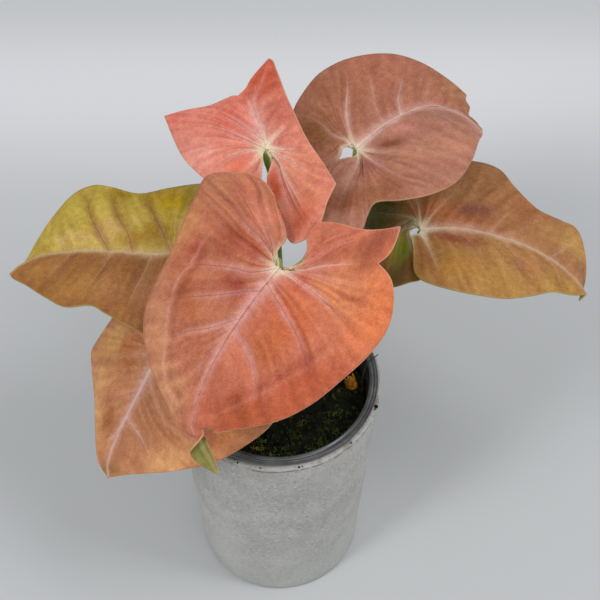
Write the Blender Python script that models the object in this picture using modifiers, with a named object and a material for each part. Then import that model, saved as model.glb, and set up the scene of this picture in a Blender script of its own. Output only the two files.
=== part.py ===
"""Arrowhead plant (Syngonium) in a nursery pot, standing in a tapered cover pot.

The blades are drawn flat, in millimetres, and then bent: x runs along the midrib from the
joint with the leaf stalk to the tip, and y to the blade's left. The model is in metres, +Z up,
with the origin at the centre of the cover pot's foot.
"""
import math

import bmesh
import bpy
import numpy as np
from mathutils import Matrix, Vector

MM = 0.001
GAP = 0.3                     # between pieces that touch, mm

# Cover pot
COVER_HEIGHT = 95.0
COVER_RIM_RADIUS = 35.0
COVER_FOOT_RADIUS = 28.3
COVER_WALL = 2.8
COVER_FLOOR = 5.0
COVER_FOOT_EDGE = 1.6         # rounding of the outer edge at the foot
COVER_RIM_EDGE = 0.8          # rounding of both edges at the rim

# Nursery pot, hung in the cover pot by its lip
LIP_RADIUS = 34.0
LIP_HEIGHT = 1.9
LIP_EDGE = 0.6                # rounding of the lip's outer edge
CUP_TOP_RADIUS = 31.6
CUP_FOOT_RADIUS = 24.0
CUP_WALL = 0.9
CUP_DEPTH = 86.0

# Soil
SOIL_EDGE_DROP = 10.0         # from the lip's top to the soil at the wall
SOIL_MOUND = 3.0
STALK_DEPTH = 11.0            # how deep a leaf stalk stands in the soil

BLADE_THICKNESS = 0.7
STALK_RADIUS = 1.35
STALK_END_RADIUS = 1.05

# A dried sheath and a thread of old root, both standing in the soil beside the pot's wall
SHEATH_FOOT = (25.2, 3.4)
SHEATH_HEIGHT = 8.0
SHEATH_RADIUS = 1.6
SHEATH_LEAN = 10.0
SHEATH_TURN = 200.0           # how far round the husk wraps, degrees
SHEATH_WALL = 0.6
SHEATH_DEPTH = 2.5
SHEATH_STEPS = 12
THREAD_RADIUS = 0.35
THREAD = [(28.8, 0.9, 84.0), (28.8, 1.1, 88.0), (29.0, 3.2, 95.0), (30.6, 5.0, 98.9),
          (34.0, 7.2, 100.6)]
HOLE_SLACK = 0.8              # room round the sheath in its hole, beyond its radius

SEGMENTS = 48
HOLE_SEGMENTS = 16

FAN_ROWS = 9                  # rows of the blade behind the joint
RIB_ROWS = 11                 # rows along the midrib
TIP_ROWS = 8                  # rows along a tip that twists over
SPANS = 6                     # faces from the midrib to the margin
RIB_LAG = 0.8                 # the side veins run forward, towards the tip

# Each leaf: where its joint is, how the blade lies, how it is bent, and its outline.
# heading, dip and roll place the blade, in degrees; arch and sweep bend the midrib down and to
# the left over its length; back and back_sweep do the same behind the joint; rise and curl lift
# the two halves and bend their margins; an ear is a basal lobe folded between two rays from the
# joint, and each of the bends goes down, left and round between two places on the midrib.
LEAVES = {
    "front": dict(
        joint=(1.2, -8.4, 170.0), heading=-131, dip=36, roll=-4,
        length=62, half_width=40, arch=16, sweep=8, back=-14, back_sweep=-60, neck=59,
        rise=(-4, -4), curl=(-18, -22), ear=((-20, 116, 140), None),
        bends=[(55, 60, 10, 50, 0), (59, 64, 0, 0, 165)],
        midrib=[(0, 0), (16, -2), (37, -3), (50, -2), (61, 0), (74, 0)],
        left_sinus=[(0, 0), (-4, 4), (-8, 4), (-12, 1.5), (-17, 1.5)],
        left=[[(-17, 1.5), (-18.5, 8), (-19, 16), (-22, 27)],
              [(-22, 27), (-17, 28.5), (-13.5, 26.5)],
              [(-13.5, 26.5), (-11, 33), (-4, 38), (6, 38), (18, 35), (31, 30.5), (42, 23.5),
               (52, 12), (59, 2.8)],
              [(59, 2.8), (62.5, 4.4), (66, 4.6), (70, 2.8), (74, 0)]],
        right_sinus=[(0, 0), (-1, -0.9), (-2, -2.1), (-3.4, -3.1), (-5, -3.3), (-9, -2.8), (-14, -7),
                     (-21, -12)],
        right=[[(-21, -12), (-27, -19), (-27.5, -27), (-24, -37), (-15, -41), (1, -40), (15, -37),
                (35, -34), (46, -25), (54, -13), (59, -2.8)],
               [(59, -2.8), (62, -2.1), (67, -1.6), (71, -1), (74, 0)]],
        stalk_foot=(0, -3), stalk_arrives=(0.06, -0.82, 0.50)),
    "top": dict(
        joint=(-3.3, 39.0, 170.0), heading=86, dip=-10, roll=-24,
        length=38, half_width=34, arch=-6, sweep=16, back=-6, back_sweep=0, neck=None,
        rise=(2, 2), curl=(-8, -6), ear=(None, None), bends=[],
        midrib=[(0, 0), (7, 2), (16, 5), (21, 5), (26, 2.5), (34, -1)],
        left_sinus=[(0, 0), (-1.2, 1.2), (-3.5, 0.9), (-8, 0.8), (-11.5, 0.7), (-15, 2)],
        left=[[(-15, 2), (-17, 7), (-16, 14), (-10, 19), (2, 30), (13, 35.5), (25, 39)],
              [(25, 39), (24, 31), (22.4, 21.5), (23.3, 16), (23.8, 13), (23.2, 11)],
              [(23.2, 11), (25.4, 8.2), (28.1, 6.4), (30.8, 3.6), (34, -1)]],
        right_sinus=[(0, 0), (-5, -2.5), (-11, -1.5), (-16, -3), (-24, -7.5), (-32, -10)],
        right=[[(-32, -10), (-37, -13), (-36, -18), (-31, -22), (-24, -23.5), (-17.5, -26)],
               [(-17.5, -26), (-10, -21.5), (1, -14.5), (10, -10), (19, -6), (29, -3.1), (32.6, -2.4),
                (34, -1)]],
        stalk_foot=(1.5, 5.5), stalk_arrives=(-0.15, -0.05, 1.0)),
    "back": dict(
        joint=(25.7, 44.6, 163.0), heading=36, dip=2, roll=-4,
        length=52, half_width=38, arch=10, sweep=-6, back=-10, back_sweep=0, neck=None,
        rise=(14, 14), curl=(-16, -20), ear=(None, None), bends=[], tip_ease=16,
        midrib=[(0, 0), (14, 3), (26, 3), (34, 1), (36.8, -6), (37.2, -12), (36.9, -17), (36.1, -20.9)],
        left_sinus=[(0, 0), (-0.8, 2.2), (-2.6, 2.8), (-4.3, 2.3), (-5.6, 0.9), (-8, -0.6), (-12, -1.6),
                    (-16.5, -5.5)],
        left=[[(-16.5, -5.5), (-19.5, 1), (-19.5, 8), (-16, 15), (-9, 23), (0, 28.5), (9, 32), (20, 32),
               (32, 27), (39, 19), (44, 8), (46, 1)],
              [(46, 1), (44.6, -0.6), (44.3, -3.6), (42.1, -6.2), (42.6, -8.3), (42.4, -10.9), (40, -15.4),
               (36.1, -20.9)]],
        right_sinus=[(0, 0), (-1.2, -2), (-3.2, -2.7), (-5, -2.2), (-6.8, -1.4), (-8.4, -0.8), (-12.5, -2),
                     (-17, -7), (-26, -17.5)],
        right=[[(-26, -17.5), (-32, -25), (-30, -33), (-24, -34), (-17, -29), (-12, -26.5),
                (-5, -30.5), (4, -34), (14, -34.5), (24, -30), (32, -24), (36.1, -20.9)]],
        stalk_foot=(5.5, 4.2), stalk_arrives=(0.0, 0.05, 1.0)),
    "right": dict(
        joint=(46.7, 27.0, 143.0), heading=4, dip=6, roll=-2,
        length=62, half_width=30, arch=20, sweep=-32, back=60, back_sweep=0, neck=None,
        rise=(10, 10), curl=(-14, -14), ear=((-30, 100, 150), None), bends=[],
        midrib=[(0, 0), (13, 1), (25, -1), (40, -5), (53, -10), (62, -14)],
        left_sinus=[(0, 0), (-0.8, 1.8), (-2.3, 2.4), (-3.4, 1.6), (-3.5, -0.8), (-3.2, -5), (-2.5, -10),
                    (-1.5, -14)],
        left=[[(-1.5, -14), (-1.5, -18.5), (-8, -18.6), (-12, -16), (-19, -9), (-24, 0), (-24, 11),
               (-19, 20), (-11, 26), (0, 29), (12, 29.5), (22, 29), (27, 26.5), (31, 20),
               (38, 13), (45, 11.5), (50, 11), (54, 6), (59, -4), (62, -14)]],
        right_sinus=[(0, 0), (-0.8, -1.5), (-2.4, -1.9), (-3.2, -3.2), (-3.4, -6.5), (-3.6, -10.4),
                     (-4.1, -15), (-4.2, -18.2)],
        right=[[(-4.2, -18.2), (-3.3, -21.6), (-0.8, -23.9), (6, -26.5), (15, -28.5), (27, -29), (38, -26),
                (48, -21), (56, -18.5), (62, -14)]],
        stalk_foot=(6, 0), stalk_arrives=(-0.15, 0.05, 1.0)),
    "left": dict(
        joint=(-30.2, 21.5, 140.0), heading=170, dip=8, roll=2,
        length=64, half_width=32, arch=22, sweep=0, back=-10, back_sweep=0, neck=None,
        rise=(2, 8), curl=(-14, -16), ear=(None, None), bends=[],
        midrib=[(0, 0), (8, 2.5), (23, 2), (39, 2), (50, 3), (56, 5.5), (60, 9)],
        left_sinus=[(0, 0), (-6, 2), (-13, 4), (-19, 10)],
        left=[[(-19, 10), (-23, 19), (-21, 29), (-12, 35), (0, 36), (13, 31), (21, 27), (26, 24.5),
               (35, 25), (43, 21), (52, 15), (58, 11.3), (60, 9)]],
        right_sinus=[(0, 0), (-6, -2), (-12, -4), (-17, -8)],
        right=[[(-17, -8), (-21, -14), (-20, -22), (-12, -27), (0, -27.5), (10, -25), (20, -22),
                (31, -25), (37, -26), (43, -23), (48, -15), (53, -4), (56, 4), (60, 9)]],
        stalk_foot=(-5, 3), stalk_arrives=(-0.5, 0.25, 0.9)),
    "low": dict(
        joint=(-37.0, -4.1, 122.0), heading=-124, dip=40, roll=6,
        length=52, half_width=40, arch=12, sweep=0, back=-10, back_sweep=0, neck=None,
        rise=(0, -12), curl=(-12, -16), ear=(None, None), bends=[],
        midrib=[(0, 0), (16, -1), (34, -2), (44, -1.5), (48.5, 1)],
        left_sinus=[(0, 0), (-5, 2), (-11, 5), (-16, 12)],
        left=[[(-16, 12), (-20, 22), (-19, 33), (-12, 42), (-3, 46), (5, 45.5), (13, 42),
               (24, 34.5), (33, 24), (39, 15), (44, 7), (48.5, 1)]],
        right_sinus=[(0, 0), (-5, -2), (-11, -5), (-16, -9)],
        right=[[(-16, -9), (-19, -16), (-16, -23), (-8, -26.5), (2, -26.5), (9, -28), (16, -29),
                (20, -26), (29, -18), (38, -12), (46, -6), (48.5, 1)]],
        stalk_foot=(-5, -3), stalk_arrives=(-0.75, -0.25, 0.7)),
}


def turn(axis, angle):
    """Rotation matrix about a unit axis, angle in radians."""
    return np.array(Matrix.Rotation(angle, 3, Vector(axis)))


def joint_frame(leaf):
    """Forward, left and up directions of the blade at its joint, as columns."""
    heading, dip, roll = (math.radians(leaf[name]) for name in ("heading", "dip", "roll"))
    forward = np.array([math.cos(dip) * math.cos(heading), math.cos(dip) * math.sin(heading),
                        -math.sin(dip)])
    level_left = np.array([-math.sin(heading), math.cos(heading), 0.0])
    left = level_left * math.cos(roll) + np.cross(forward, level_left) * math.sin(roll)
    return np.stack([forward, left, np.cross(forward, left)], 1)


def bend_rates(leaf, x):
    """Degrees per millimetre that the midrib bends down, turns left and twists at x."""
    length = leaf["length"]
    if x < 0:
        return leaf["back"] / length, leaf["back_sweep"] * min(1, -x / 8) / length, 0.0
    along = 2 * x / length ** 2
    down, left, twist = leaf["arch"] * along, leaf["sweep"] * along, 0.0
    for start, end, *turns in leaf["bends"]:
        if start < x < end:
            share = (x - start) / (end - start)
            rate = 6 * share * (1 - share) / (end - start)
            down += turns[0] * rate
            left += turns[1] * rate
            twist += turns[2] * rate
    return down, left, twist


def spine_table(leaf, step=0.5, back=-45.0, front=80.0):
    """Place and frame of the blade's centre line, at even steps behind and ahead of the joint."""
    places = np.arange(back, front + step / 2, step)
    start = int(np.argmin(np.abs(places)))
    points = np.zeros((len(places), 3))
    frames = np.zeros((len(places), 3, 3))
    points[start] = leaf["joint"]
    frames[start] = joint_frame(leaf)
    for sign, stop in ((1, len(places) - 1), (-1, 0)):
        for i in range(start, stop, sign):
            rates = np.radians(bend_rates(leaf, places[i] + sign * step / 2)) * sign * step
            forward, left, up = frames[i].T
            bend = turn(left, rates[0]) @ turn(up, rates[1]) @ turn(forward, rates[2])
            frames[i + sign] = bend @ frames[i]
            middle = (frames[i][:, 0] + frames[i + sign][:, 0]) / 2
            points[i + sign] = points[i] + middle * sign * step
    return places, points, frames


def soft_step(value):
    value = np.clip(value, 0, 1)
    return value * value * (3 - 2 * value)


def across(leaf, y, side, steps=8):
    """How far a point y from the midrib lies out and up, once its half is lifted and curled."""
    rise, curl = leaf["rise"][side], leaf["curl"][side]
    out = np.zeros_like(y)
    up = np.zeros_like(y)
    for i in range(steps):
        slope = np.radians(rise + curl * ((i + 0.5) / steps * y / leaf["half_width"]) ** 2)
        out += np.cos(slope) * y / steps
        up += np.sin(slope) * y / steps
    return out, up


def bent(leaf, table, flat, side):
    """World places, in mm, of flat blade points on one half (side 0 is left, 1 is right)."""
    places, points, frames = table
    x, y = flat[..., 0], flat[..., 1]
    sign = 1 if side == 0 else -1
    distance = sign * y
    out, up = across(leaf, distance, side)
    if leaf["ear"][side]:
        fold, start, end = leaf["ear"][side]
        angle = np.degrees(np.arctan2(np.abs(distance), x))
        share = soft_step((angle - start) / (end - start))
        up = up + math.tan(math.radians(fold)) * np.hypot(x, y) * share

    def along(values):
        return np.stack([np.interp(x, places, values[:, i]) for i in range(3)], -1)

    return (along(points) + (sign * out)[..., None] * along(frames[:, :, 1])
            + up[..., None] * along(frames[:, :, 2]))


def laid(leaf, table, row, side):
    """World places of a row. The midrib lies on the half that it bends into, so that a row of
    the other half starts with a step, which is spread over the row. Within tip_ease of the tip
    the step is carried out to the margin too."""
    places = bent(leaf, table, row, side)
    rib = bent(leaf, table, row[0], 0 if row[0][1] >= 0 else 1)
    share = soft_step(np.linspace(0, 1, len(row)))
    if "tip_ease" in leaf:
        share = share * soft_step(math.dist(row[-1], leaf["midrib"][-1]) / leaf["tip_ease"])
    return places + (rib - places[0]) * (1 - share)[:, None]


def smooth(points, count):
    """Places at even steps along a smooth curve through the points."""
    points = np.array(points, float)
    if len(points) == 2:
        return points[0] + (points[1] - points[0]) * np.linspace(0, 1, count)[:, None]
    chords = np.linalg.norm(np.diff(points, axis=0), axis=1)
    knots = np.concatenate([[0], np.cumsum(chords)])
    slopes = np.zeros_like(points)
    slopes[1:-1] = (points[2:] - points[:-2]) / (knots[2:] - knots[:-2])[:, None]
    slopes[0] = 1.5 * (points[1] - points[0]) / chords[0] - 0.5 * slopes[1]
    slopes[-1] = 1.5 * (points[-1] - points[-2]) / chords[-1] - 0.5 * slopes[-2]
    fine = []
    for i, chord in enumerate(chords):
        t = np.linspace(0, 1, 17)[:-1, None]
        fine.append((2 * t ** 3 - 3 * t ** 2 + 1) * points[i] + (3 * t ** 2 - 2 * t ** 3) * points[i + 1]
                    + chord * ((t ** 3 - 2 * t ** 2 + t) * slopes[i] + (t ** 3 - t ** 2) * slopes[i + 1]))
    fine = np.concatenate(fine + [points[-1:]])
    return even(fine, np.linspace(0, 1, count))


def even(line, shares):
    """Places at the given shares of a polyline's length."""
    return np.stack([np.interp(shares, share_along(line), line[:, i])
                     for i in range(line.shape[1])], -1)


def share_along(line):
    lengths = np.concatenate([[0], np.cumsum(np.linalg.norm(np.diff(line, axis=0), axis=1))])
    return lengths / lengths[-1]


def rib_shares(leaf, midrib):
    """Where the rows start on the midrib, as shares of its length, and the share at the neck."""
    if not leaf["neck"]:
        return np.linspace(0, 1, RIB_ROWS + 1), 1.0
    neck = share_along(midrib)[np.argmax(midrib[:, 0] > leaf["neck"])]
    tip = np.linspace(neck, 1, TIP_ROWS + 1)[1:]
    return np.concatenate([np.linspace(0, neck, RIB_ROWS + 1), tip]), neck


def margin_shares(leaf, outline, runs, starts, neck):
    """Where the rows of a half meet its margin, as shares of the margin's length."""
    share = share_along(outline)
    corners = [share[np.argmin(np.linalg.norm(outline - np.array(run[0]), axis=1))]
               for run in runs[1:]]
    abeam = share[np.argmax(outline[:, 0] > 2.0)]
    margin_neck = corners[-1] if leaf["neck"] else 1.0
    before = abeam + (margin_neck - abeam) * np.clip(starts / neck, 0, 1) ** RIB_LAG
    beyond = (1 - margin_neck) * np.clip((starts - neck) / max(1 - neck, 1e-6), 0, 1)
    shares = np.concatenate([abeam * np.arange(FAN_ROWS) / FAN_ROWS, before + beyond])
    for corner in corners:
        nearest = 1 + np.argmin(np.abs(shares[1:-1] - corner))
        shares[nearest] = corner
    return shares


def half_rows(leaf, side):
    """Flat rows of one half, each from the joint or the midrib out to the margin."""
    name = ("left", "right")[side]
    outline = np.concatenate([smooth(run, 60) for run in leaf[name]])
    midrib = smooth(leaf["midrib"], 200)
    starts, neck = rib_shares(leaf, midrib)
    margin = even(outline, margin_shares(leaf, outline, leaf[name], starts, neck))
    spans = np.linspace(0, 1, SPANS + 1)[:, None]
    sinus = even(smooth(leaf[name + "_sinus"], 60), spans[:, 0])
    rows = []
    for i, end in enumerate(margin):
        start = even(midrib, [starts[max(0, i - FAN_ROWS)]])[0]
        row = start + (end - start) * spans
        if i < FAN_ROWS:
            row += (sinus - sinus[-1] * spans) * (1 - i / FAN_ROWS)
        rows.append(row)
    return rows


def new_object(name, mesh, material, group):
    thing = bpy.data.objects.new(name, mesh)
    group.objects.link(thing)
    mesh.materials.append(material)
    return thing


def make_material(name, colour, roughness):
    material = bpy.data.materials.new(name)
    material.use_nodes = True
    shader = material.node_tree.nodes["Principled BSDF"]
    shader.inputs["Base Color"].default_value = (*colour, 1.0)
    shader.inputs["Roughness"].default_value = roughness
    return material


def make_blade(name, leaf, table, material, group):
    """An open surface in triangles, given its thickness downwards."""
    surface = bmesh.new()
    joint = surface.verts.new(Vector(bent(leaf, table, np.zeros(2), 0) * MM))
    rib = [joint]
    for side in (0, 1):
        rows = half_rows(leaf, side)
        grid = []
        for i, row in enumerate(rows):
            places = laid(leaf, table, row, side) * MM
            rib_index = max(0, i - FAN_ROWS)
            if rib_index >= len(rib):
                rib.append(surface.verts.new(Vector(places[0])))
            if i == len(rows) - 1:
                grid.append([rib[rib_index]] * (SPANS + 1))
            else:
                grid.append([rib[rib_index]] + [surface.verts.new(Vector(p)) for p in places[1:]])
        for i in range(len(rows) - 1):
            for j in range(SPANS):
                corners = [grid[i][j], grid[i + 1][j], grid[i + 1][j + 1], grid[i][j + 1]]
                corners = [c for k, c in enumerate(corners) if c not in corners[:k]]
                if side == 1:
                    corners.reverse()
                surface.faces.new(corners)
    bmesh.ops.triangulate(surface, faces=surface.faces[:])
    mesh = bpy.data.meshes.new(name)
    surface.to_mesh(mesh)
    surface.free()
    mesh.shade_smooth()
    blade = new_object(name, mesh, material, group)
    thickness = blade.modifiers.new("Thickness", "SOLIDIFY")
    thickness.thickness = BLADE_THICKNESS * MM
    thickness.offset = -1.0
    return blade


def bezier(a, b, c, d, count):
    t = np.linspace(0, 1, count)[:, None]
    return (1 - t) ** 3 * a + 3 * (1 - t) ** 2 * t * b + 3 * (1 - t) * t ** 2 * c + t ** 3 * d


def stalk_path(leaf):
    """Centre line of a leaf stalk, from its foot in the soil to just under the blade's joint."""
    arrives = np.array(leaf["stalk_arrives"], float)
    arrives /= np.linalg.norm(arrives)
    up = joint_frame(leaf)[:, 2]
    slant = float(arrives @ up)
    clear = BLADE_THICKNESS + GAP + STALK_END_RADIUS * math.sqrt(1 - slant ** 2)
    end = np.array(leaf["joint"], float) - arrives * clear / slant
    foot = np.array([*leaf["stalk_foot"], soil_top(0) - STALK_DEPTH + GAP])
    collar = np.array([*leaf["stalk_foot"], soil_top(0) + GAP])
    reach = np.linalg.norm(end - collar)
    rise = bezier(collar, collar + np.array([0, 0, 0.4 * reach]), end - arrives * 0.3 * reach, end, 15)
    return np.concatenate([[foot], rise])


def make_tube(name, path, radii, material, group):
    line = bpy.data.curves.new(name, "CURVE")
    line.dimensions = "3D"
    line.bevel_depth = MM
    line.bevel_resolution = 2
    line.use_fill_caps = True
    spline = line.splines.new("POLY")
    spline.points.add(len(path) - 1)
    for point, place, radius in zip(spline.points, path, radii):
        point.co = (*(place * MM), 1.0)
        point.radius = radius
    line.materials.append(material)
    tube = bpy.data.objects.new(name, line)
    group.objects.link(tube)
    return tube


def turned(name, profile, material, group):
    """A profile in the XZ plane, in mm, turned about Z."""
    mesh = bpy.data.meshes.new(name)
    points = [(radius * MM, 0.0, height * MM) for radius, height in profile]
    mesh.from_pydata(points, [(i, i + 1) for i in range(len(points) - 1)], [])
    thing = new_object(name, mesh, material, group)
    screw = thing.modifiers.new("Turn", "SCREW")
    screw.steps = SEGMENTS
    screw.render_steps = SEGMENTS
    screw.use_merge_vertices = True
    screw.merge_threshold = 0.00001
    return thing


def rounded(centre, radius, start, end, count=4):
    """Points on an arc in the profile plane, angles in degrees."""
    angles = np.radians(np.linspace(start, end, count))
    return [(centre[0] + radius * math.cos(a), centre[1] + radius * math.sin(a)) for a in angles]


def lip_top():
    return COVER_HEIGHT + GAP + LIP_HEIGHT


def soil_top(radius):
    """Height of the soil, highest at the middle."""
    share = min(1.0, radius / CUP_TOP_RADIUS)
    return lip_top() - SOIL_EDGE_DROP + SOIL_MOUND * (1 - share ** 2)


def cup_radius(height):
    """Outer radius of the nursery pot's wall."""
    foot = lip_top() - CUP_DEPTH
    share = (height - foot) / (COVER_HEIGHT - foot)
    return CUP_FOOT_RADIUS + (CUP_TOP_RADIUS - CUP_FOOT_RADIUS) * share


def make_cover_pot(material, group):
    inner_foot = COVER_FOOT_RADIUS - COVER_WALL
    profile = [(0, COVER_FLOOR), (inner_foot, COVER_FLOOR)]
    inner_rim = COVER_RIM_RADIUS - COVER_WALL
    edge, foot_edge = COVER_RIM_EDGE, COVER_FOOT_EDGE
    profile += rounded((inner_rim + edge, COVER_HEIGHT - edge), edge, 180, 90)
    profile += rounded((COVER_RIM_RADIUS - edge, COVER_HEIGHT - edge), edge, 90, 0)
    profile += rounded((COVER_FOOT_RADIUS - foot_edge, foot_edge), foot_edge, 0, -90)
    profile += [(0, 0)]
    return turned("cover_pot", profile, material, group)


def make_nursery_pot(material, group):
    top = lip_top()
    under = top - LIP_HEIGHT
    foot = top - CUP_DEPTH
    inner = cup_radius(top) - CUP_WALL
    profile = [(0, foot + CUP_WALL), (CUP_FOOT_RADIUS - CUP_WALL, foot + CUP_WALL)]
    profile += [(inner, top - LIP_EDGE), (inner + LIP_EDGE, top)]
    profile += rounded((LIP_RADIUS - LIP_EDGE, top - LIP_EDGE), LIP_EDGE, 90, 0, 3)
    profile += [(LIP_RADIUS, under), (cup_radius(under), under)]
    profile += [(CUP_FOOT_RADIUS, foot), (0, foot)]
    return turned("nursery_pot", profile, material, group)


def make_sheath(material, group):
    """An open, curled husk that leans towards the middle of the pot."""
    husk = turned("dry_sheath", [(SHEATH_RADIUS * 0.6, 0), (SHEATH_RADIUS * 0.9, SHEATH_HEIGHT * 0.4),
                                 (SHEATH_RADIUS, SHEATH_HEIGHT * 0.8),
                                 (SHEATH_RADIUS * 0.8, SHEATH_HEIGHT)], material, group)
    husk.modifiers["Turn"].angle = math.radians(SHEATH_TURN)
    husk.modifiers["Turn"].steps = SHEATH_STEPS
    husk.modifiers["Turn"].render_steps = SHEATH_STEPS
    wall = husk.modifiers.new("Thickness", "SOLIDIFY")
    wall.thickness = SHEATH_WALL * MM
    x, y = SHEATH_FOOT
    husk.location = (x * MM, y * MM, (soil_top(math.hypot(x, y)) - SHEATH_DEPTH) * MM)
    husk.rotation_euler = (0, math.radians(-SHEATH_LEAN), math.radians(SHEATH_TURN))
    return husk


def make_soil(feet, material, group, cutters):
    foot = lip_top() - CUP_DEPTH + CUP_WALL + GAP
    edge_top = lip_top() - SOIL_EDGE_DROP
    wall = CUP_WALL + GAP
    radii = np.linspace(0, cup_radius(edge_top) - wall, 7)
    profile = [(radius, soil_top(radius)) for radius in radii]
    profile += [(cup_radius(foot) - wall, foot), (0, foot)]
    soil = turned("soil", profile, material, group)
    for name, (x, y), radius in feet:
        hole = drill(name, x, y, radius + GAP, cutters)
        cut = soil.modifiers.new(name, "BOOLEAN")
        cut.operation = "DIFFERENCE"
        cut.object = hole
    return soil


def drill(name, x, y, radius, cutters):
    """A round cutter that leaves a plain hole in the soil."""
    mesh = bpy.data.meshes.new(name + "_hole")
    body = bmesh.new()
    bmesh.ops.create_cone(body, cap_ends=True, segments=HOLE_SEGMENTS, radius1=radius * MM,
                          radius2=radius * MM, depth=2 * STALK_DEPTH * MM)
    body.to_mesh(mesh)
    body.free()
    hole = bpy.data.objects.new(name + "_hole", mesh)
    hole.location = (x * MM, y * MM, soil_top(0) * MM)
    hole.hide_render = True
    hole.display_type = "WIRE"
    cutters.objects.link(hole)
    return hole


def main():
    for thing in list(bpy.data.objects):
        bpy.data.objects.remove(thing)
    group = bpy.data.collections.new("Arrowhead plant")
    cutters = bpy.data.collections.new("Cutters")
    bpy.context.scene.collection.children.link(group)
    bpy.context.scene.collection.children.link(cutters)

    concrete = make_material("Concrete", (0.55, 0.55, 0.55), 0.85)
    plastic = make_material("Dark plastic", (0.05, 0.05, 0.05), 0.3)
    earth = make_material("Soil", (0.02, 0.015, 0.01), 0.95)
    pink = make_material("Leaf", (0.70, 0.25, 0.20), 0.4)
    straw = make_material("Dry sheath", (0.55, 0.25, 0.06), 0.7)
    green = make_material("Leaf stalk", (0.20, 0.30, 0.06), 0.4)

    make_cover_pot(concrete, group)
    make_nursery_pot(plastic, group)
    feet = []
    for name, leaf in LEAVES.items():
        table = spine_table(leaf)
        make_blade("blade_" + name, leaf, table, pink, group)
        path = stalk_path(leaf)
        radii = np.linspace(STALK_RADIUS, STALK_END_RADIUS, len(path))
        make_tube("stalk_" + name, path, radii, green, group)
        feet.append(("stalk_" + name, leaf["stalk_foot"], STALK_RADIUS))
    make_sheath(straw, group)
    feet.append(("dry_sheath", SHEATH_FOOT, SHEATH_RADIUS + HOLE_SLACK))
    thread = smooth(THREAD, 18)
    make_tube("root_thread", thread, [THREAD_RADIUS] * len(thread), straw, group)
    feet.append(("root_thread", THREAD[0][:2], THREAD_RADIUS + GAP))
    make_soil(feet, earth, group, cutters)


main()
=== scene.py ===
import math
import random
from collections import namedtuple

import bmesh
import bpy
import numpy as np
from mathutils import Matrix, Vector, noise


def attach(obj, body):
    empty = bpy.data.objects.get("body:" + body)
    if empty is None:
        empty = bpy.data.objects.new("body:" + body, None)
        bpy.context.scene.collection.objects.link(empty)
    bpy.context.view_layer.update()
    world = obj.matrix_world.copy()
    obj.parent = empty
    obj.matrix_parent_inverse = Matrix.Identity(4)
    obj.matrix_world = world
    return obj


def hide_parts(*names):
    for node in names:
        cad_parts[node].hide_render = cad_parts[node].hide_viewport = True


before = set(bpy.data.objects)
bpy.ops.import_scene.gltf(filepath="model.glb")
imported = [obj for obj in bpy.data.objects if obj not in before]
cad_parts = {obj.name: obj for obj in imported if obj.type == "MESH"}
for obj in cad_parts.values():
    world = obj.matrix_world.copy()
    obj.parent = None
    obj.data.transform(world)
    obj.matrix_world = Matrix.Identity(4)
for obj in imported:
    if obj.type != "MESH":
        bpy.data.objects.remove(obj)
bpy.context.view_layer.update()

MM = 0.001

# Sizes shared with the solids, mm
COVER_HEIGHT, COVER_RIM_RADIUS, COVER_FOOT_RADIUS = 95.0, 35.0, 28.3
COVER_WALL, COVER_FLOOR = 2.8, 5.0
GAP = 0.3
LIP_HEIGHT = 1.9
LIP_FOOT = COVER_HEIGHT + GAP
LIP_TOP = LIP_FOOT + LIP_HEIGHT
CUP_TOP_RADIUS, CUP_FOOT_RADIUS, CUP_WALL, CUP_DEPTH = 31.6, 24.0, 0.9, 86.0
CUP_FOOT_HEIGHT = LIP_TOP - CUP_DEPTH
SOIL_EDGE_TOP, SOIL_MOUND, STALK_DEPTH = LIP_TOP - 10.0, 3.0, 11.0
BLADE_THICKNESS = 0.7
STALK_RADIUS, STALK_END_RADIUS = 1.35, 1.05
SHEATH_FOOT = (25.2, 3.4)
THREAD = [(28.8, 0.9, 84), (28.8, 1.1, 88), (29.0, 3.2, 95.0), (30.6, 5.0, 98.9), (34.0, 7.2, 100.6)]
BACK_EASE = 8.0               # behind the joint, while the sweep of a blade's back sets in

# Sizes of the looks alone, mm
ROW_STEP = 0.8                # between a blade's rows at the margin
SPANS = 44                    # faces from the midrib to the margin
ROW_SHARES = np.linspace(0, 1, SPANS + 1)
LEAF_THICKNESS, HUSK_THICKNESS = 0.5, 0.3
STALK_TIP_RADIUS, THREAD_RADIUS = 0.4, 0.34
HUSK_HEIGHT, HUSK_RADIUS, HUSK_LEAN = 8.2, 1.9, 0.16
RIM_ROUND, FOOT_ROUND = 0.8, 1.6
LIP_BEAD_RADIUS, LIP_BEAD, INNER_BEAD = 33.35, 0.62, 0.45
LIP_CHANNEL = ((0.95, 0.32), (1.35, 0.36))    # out from the inner wall, and down from the top
BEAD_HIGHLIGHTS = (32.15, 33.1)                  # radii of the painted highlights along the lip's beads
DIRT_LINE = COVER_HEIGHT - 1.4
SOIL_REACH = 29.3                             # radius that the crumbs stay within

# Shares of a stalk's length where its sheath and its swelling are
SHEATH_SHARE, KNEE_SHARE = 0.2, 0.95

# Dents of the cast wall: how many in a metre, and how deep in mm
CAST_DENTS = ((120, 0.10), (900, 0.05))

# How the washes' edges wander: the size and reach of each wandering, mm, and its seed
DRIFTS = ((9.0, 2.0, 0), (2.6, 1.3, 2))

# Width of the blades' folds, mm, and how often they change from the midrib to the margin
FOLD_WIDTH, FOLD_COUNT = 2.6, 2.4

# How strongly folds and the rest shade a blade, and how much red, green and blue take of it
FOLD_SHADE, PUCKER_SHADE, SPECK_SHADE, VALLEY_SHADE, COLLAR_SHADE = 0.27, 0.15, 0.08, 0.5, 0.22
SHADE_TINT = (0.8, 1.15, 1.15)

# The blades' relief, mm
PILLOW, VEIN_RIDGE, RIB_RIDGE, VALLEY_DEPTH, COLLAR_DENT = 0.75, 0.22, 0.28, 0.5, 0.35
BROAD_SWELL, FINE_SWELL, FOLD_HEIGHT = 0.60, 0.22, 0.50

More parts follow.
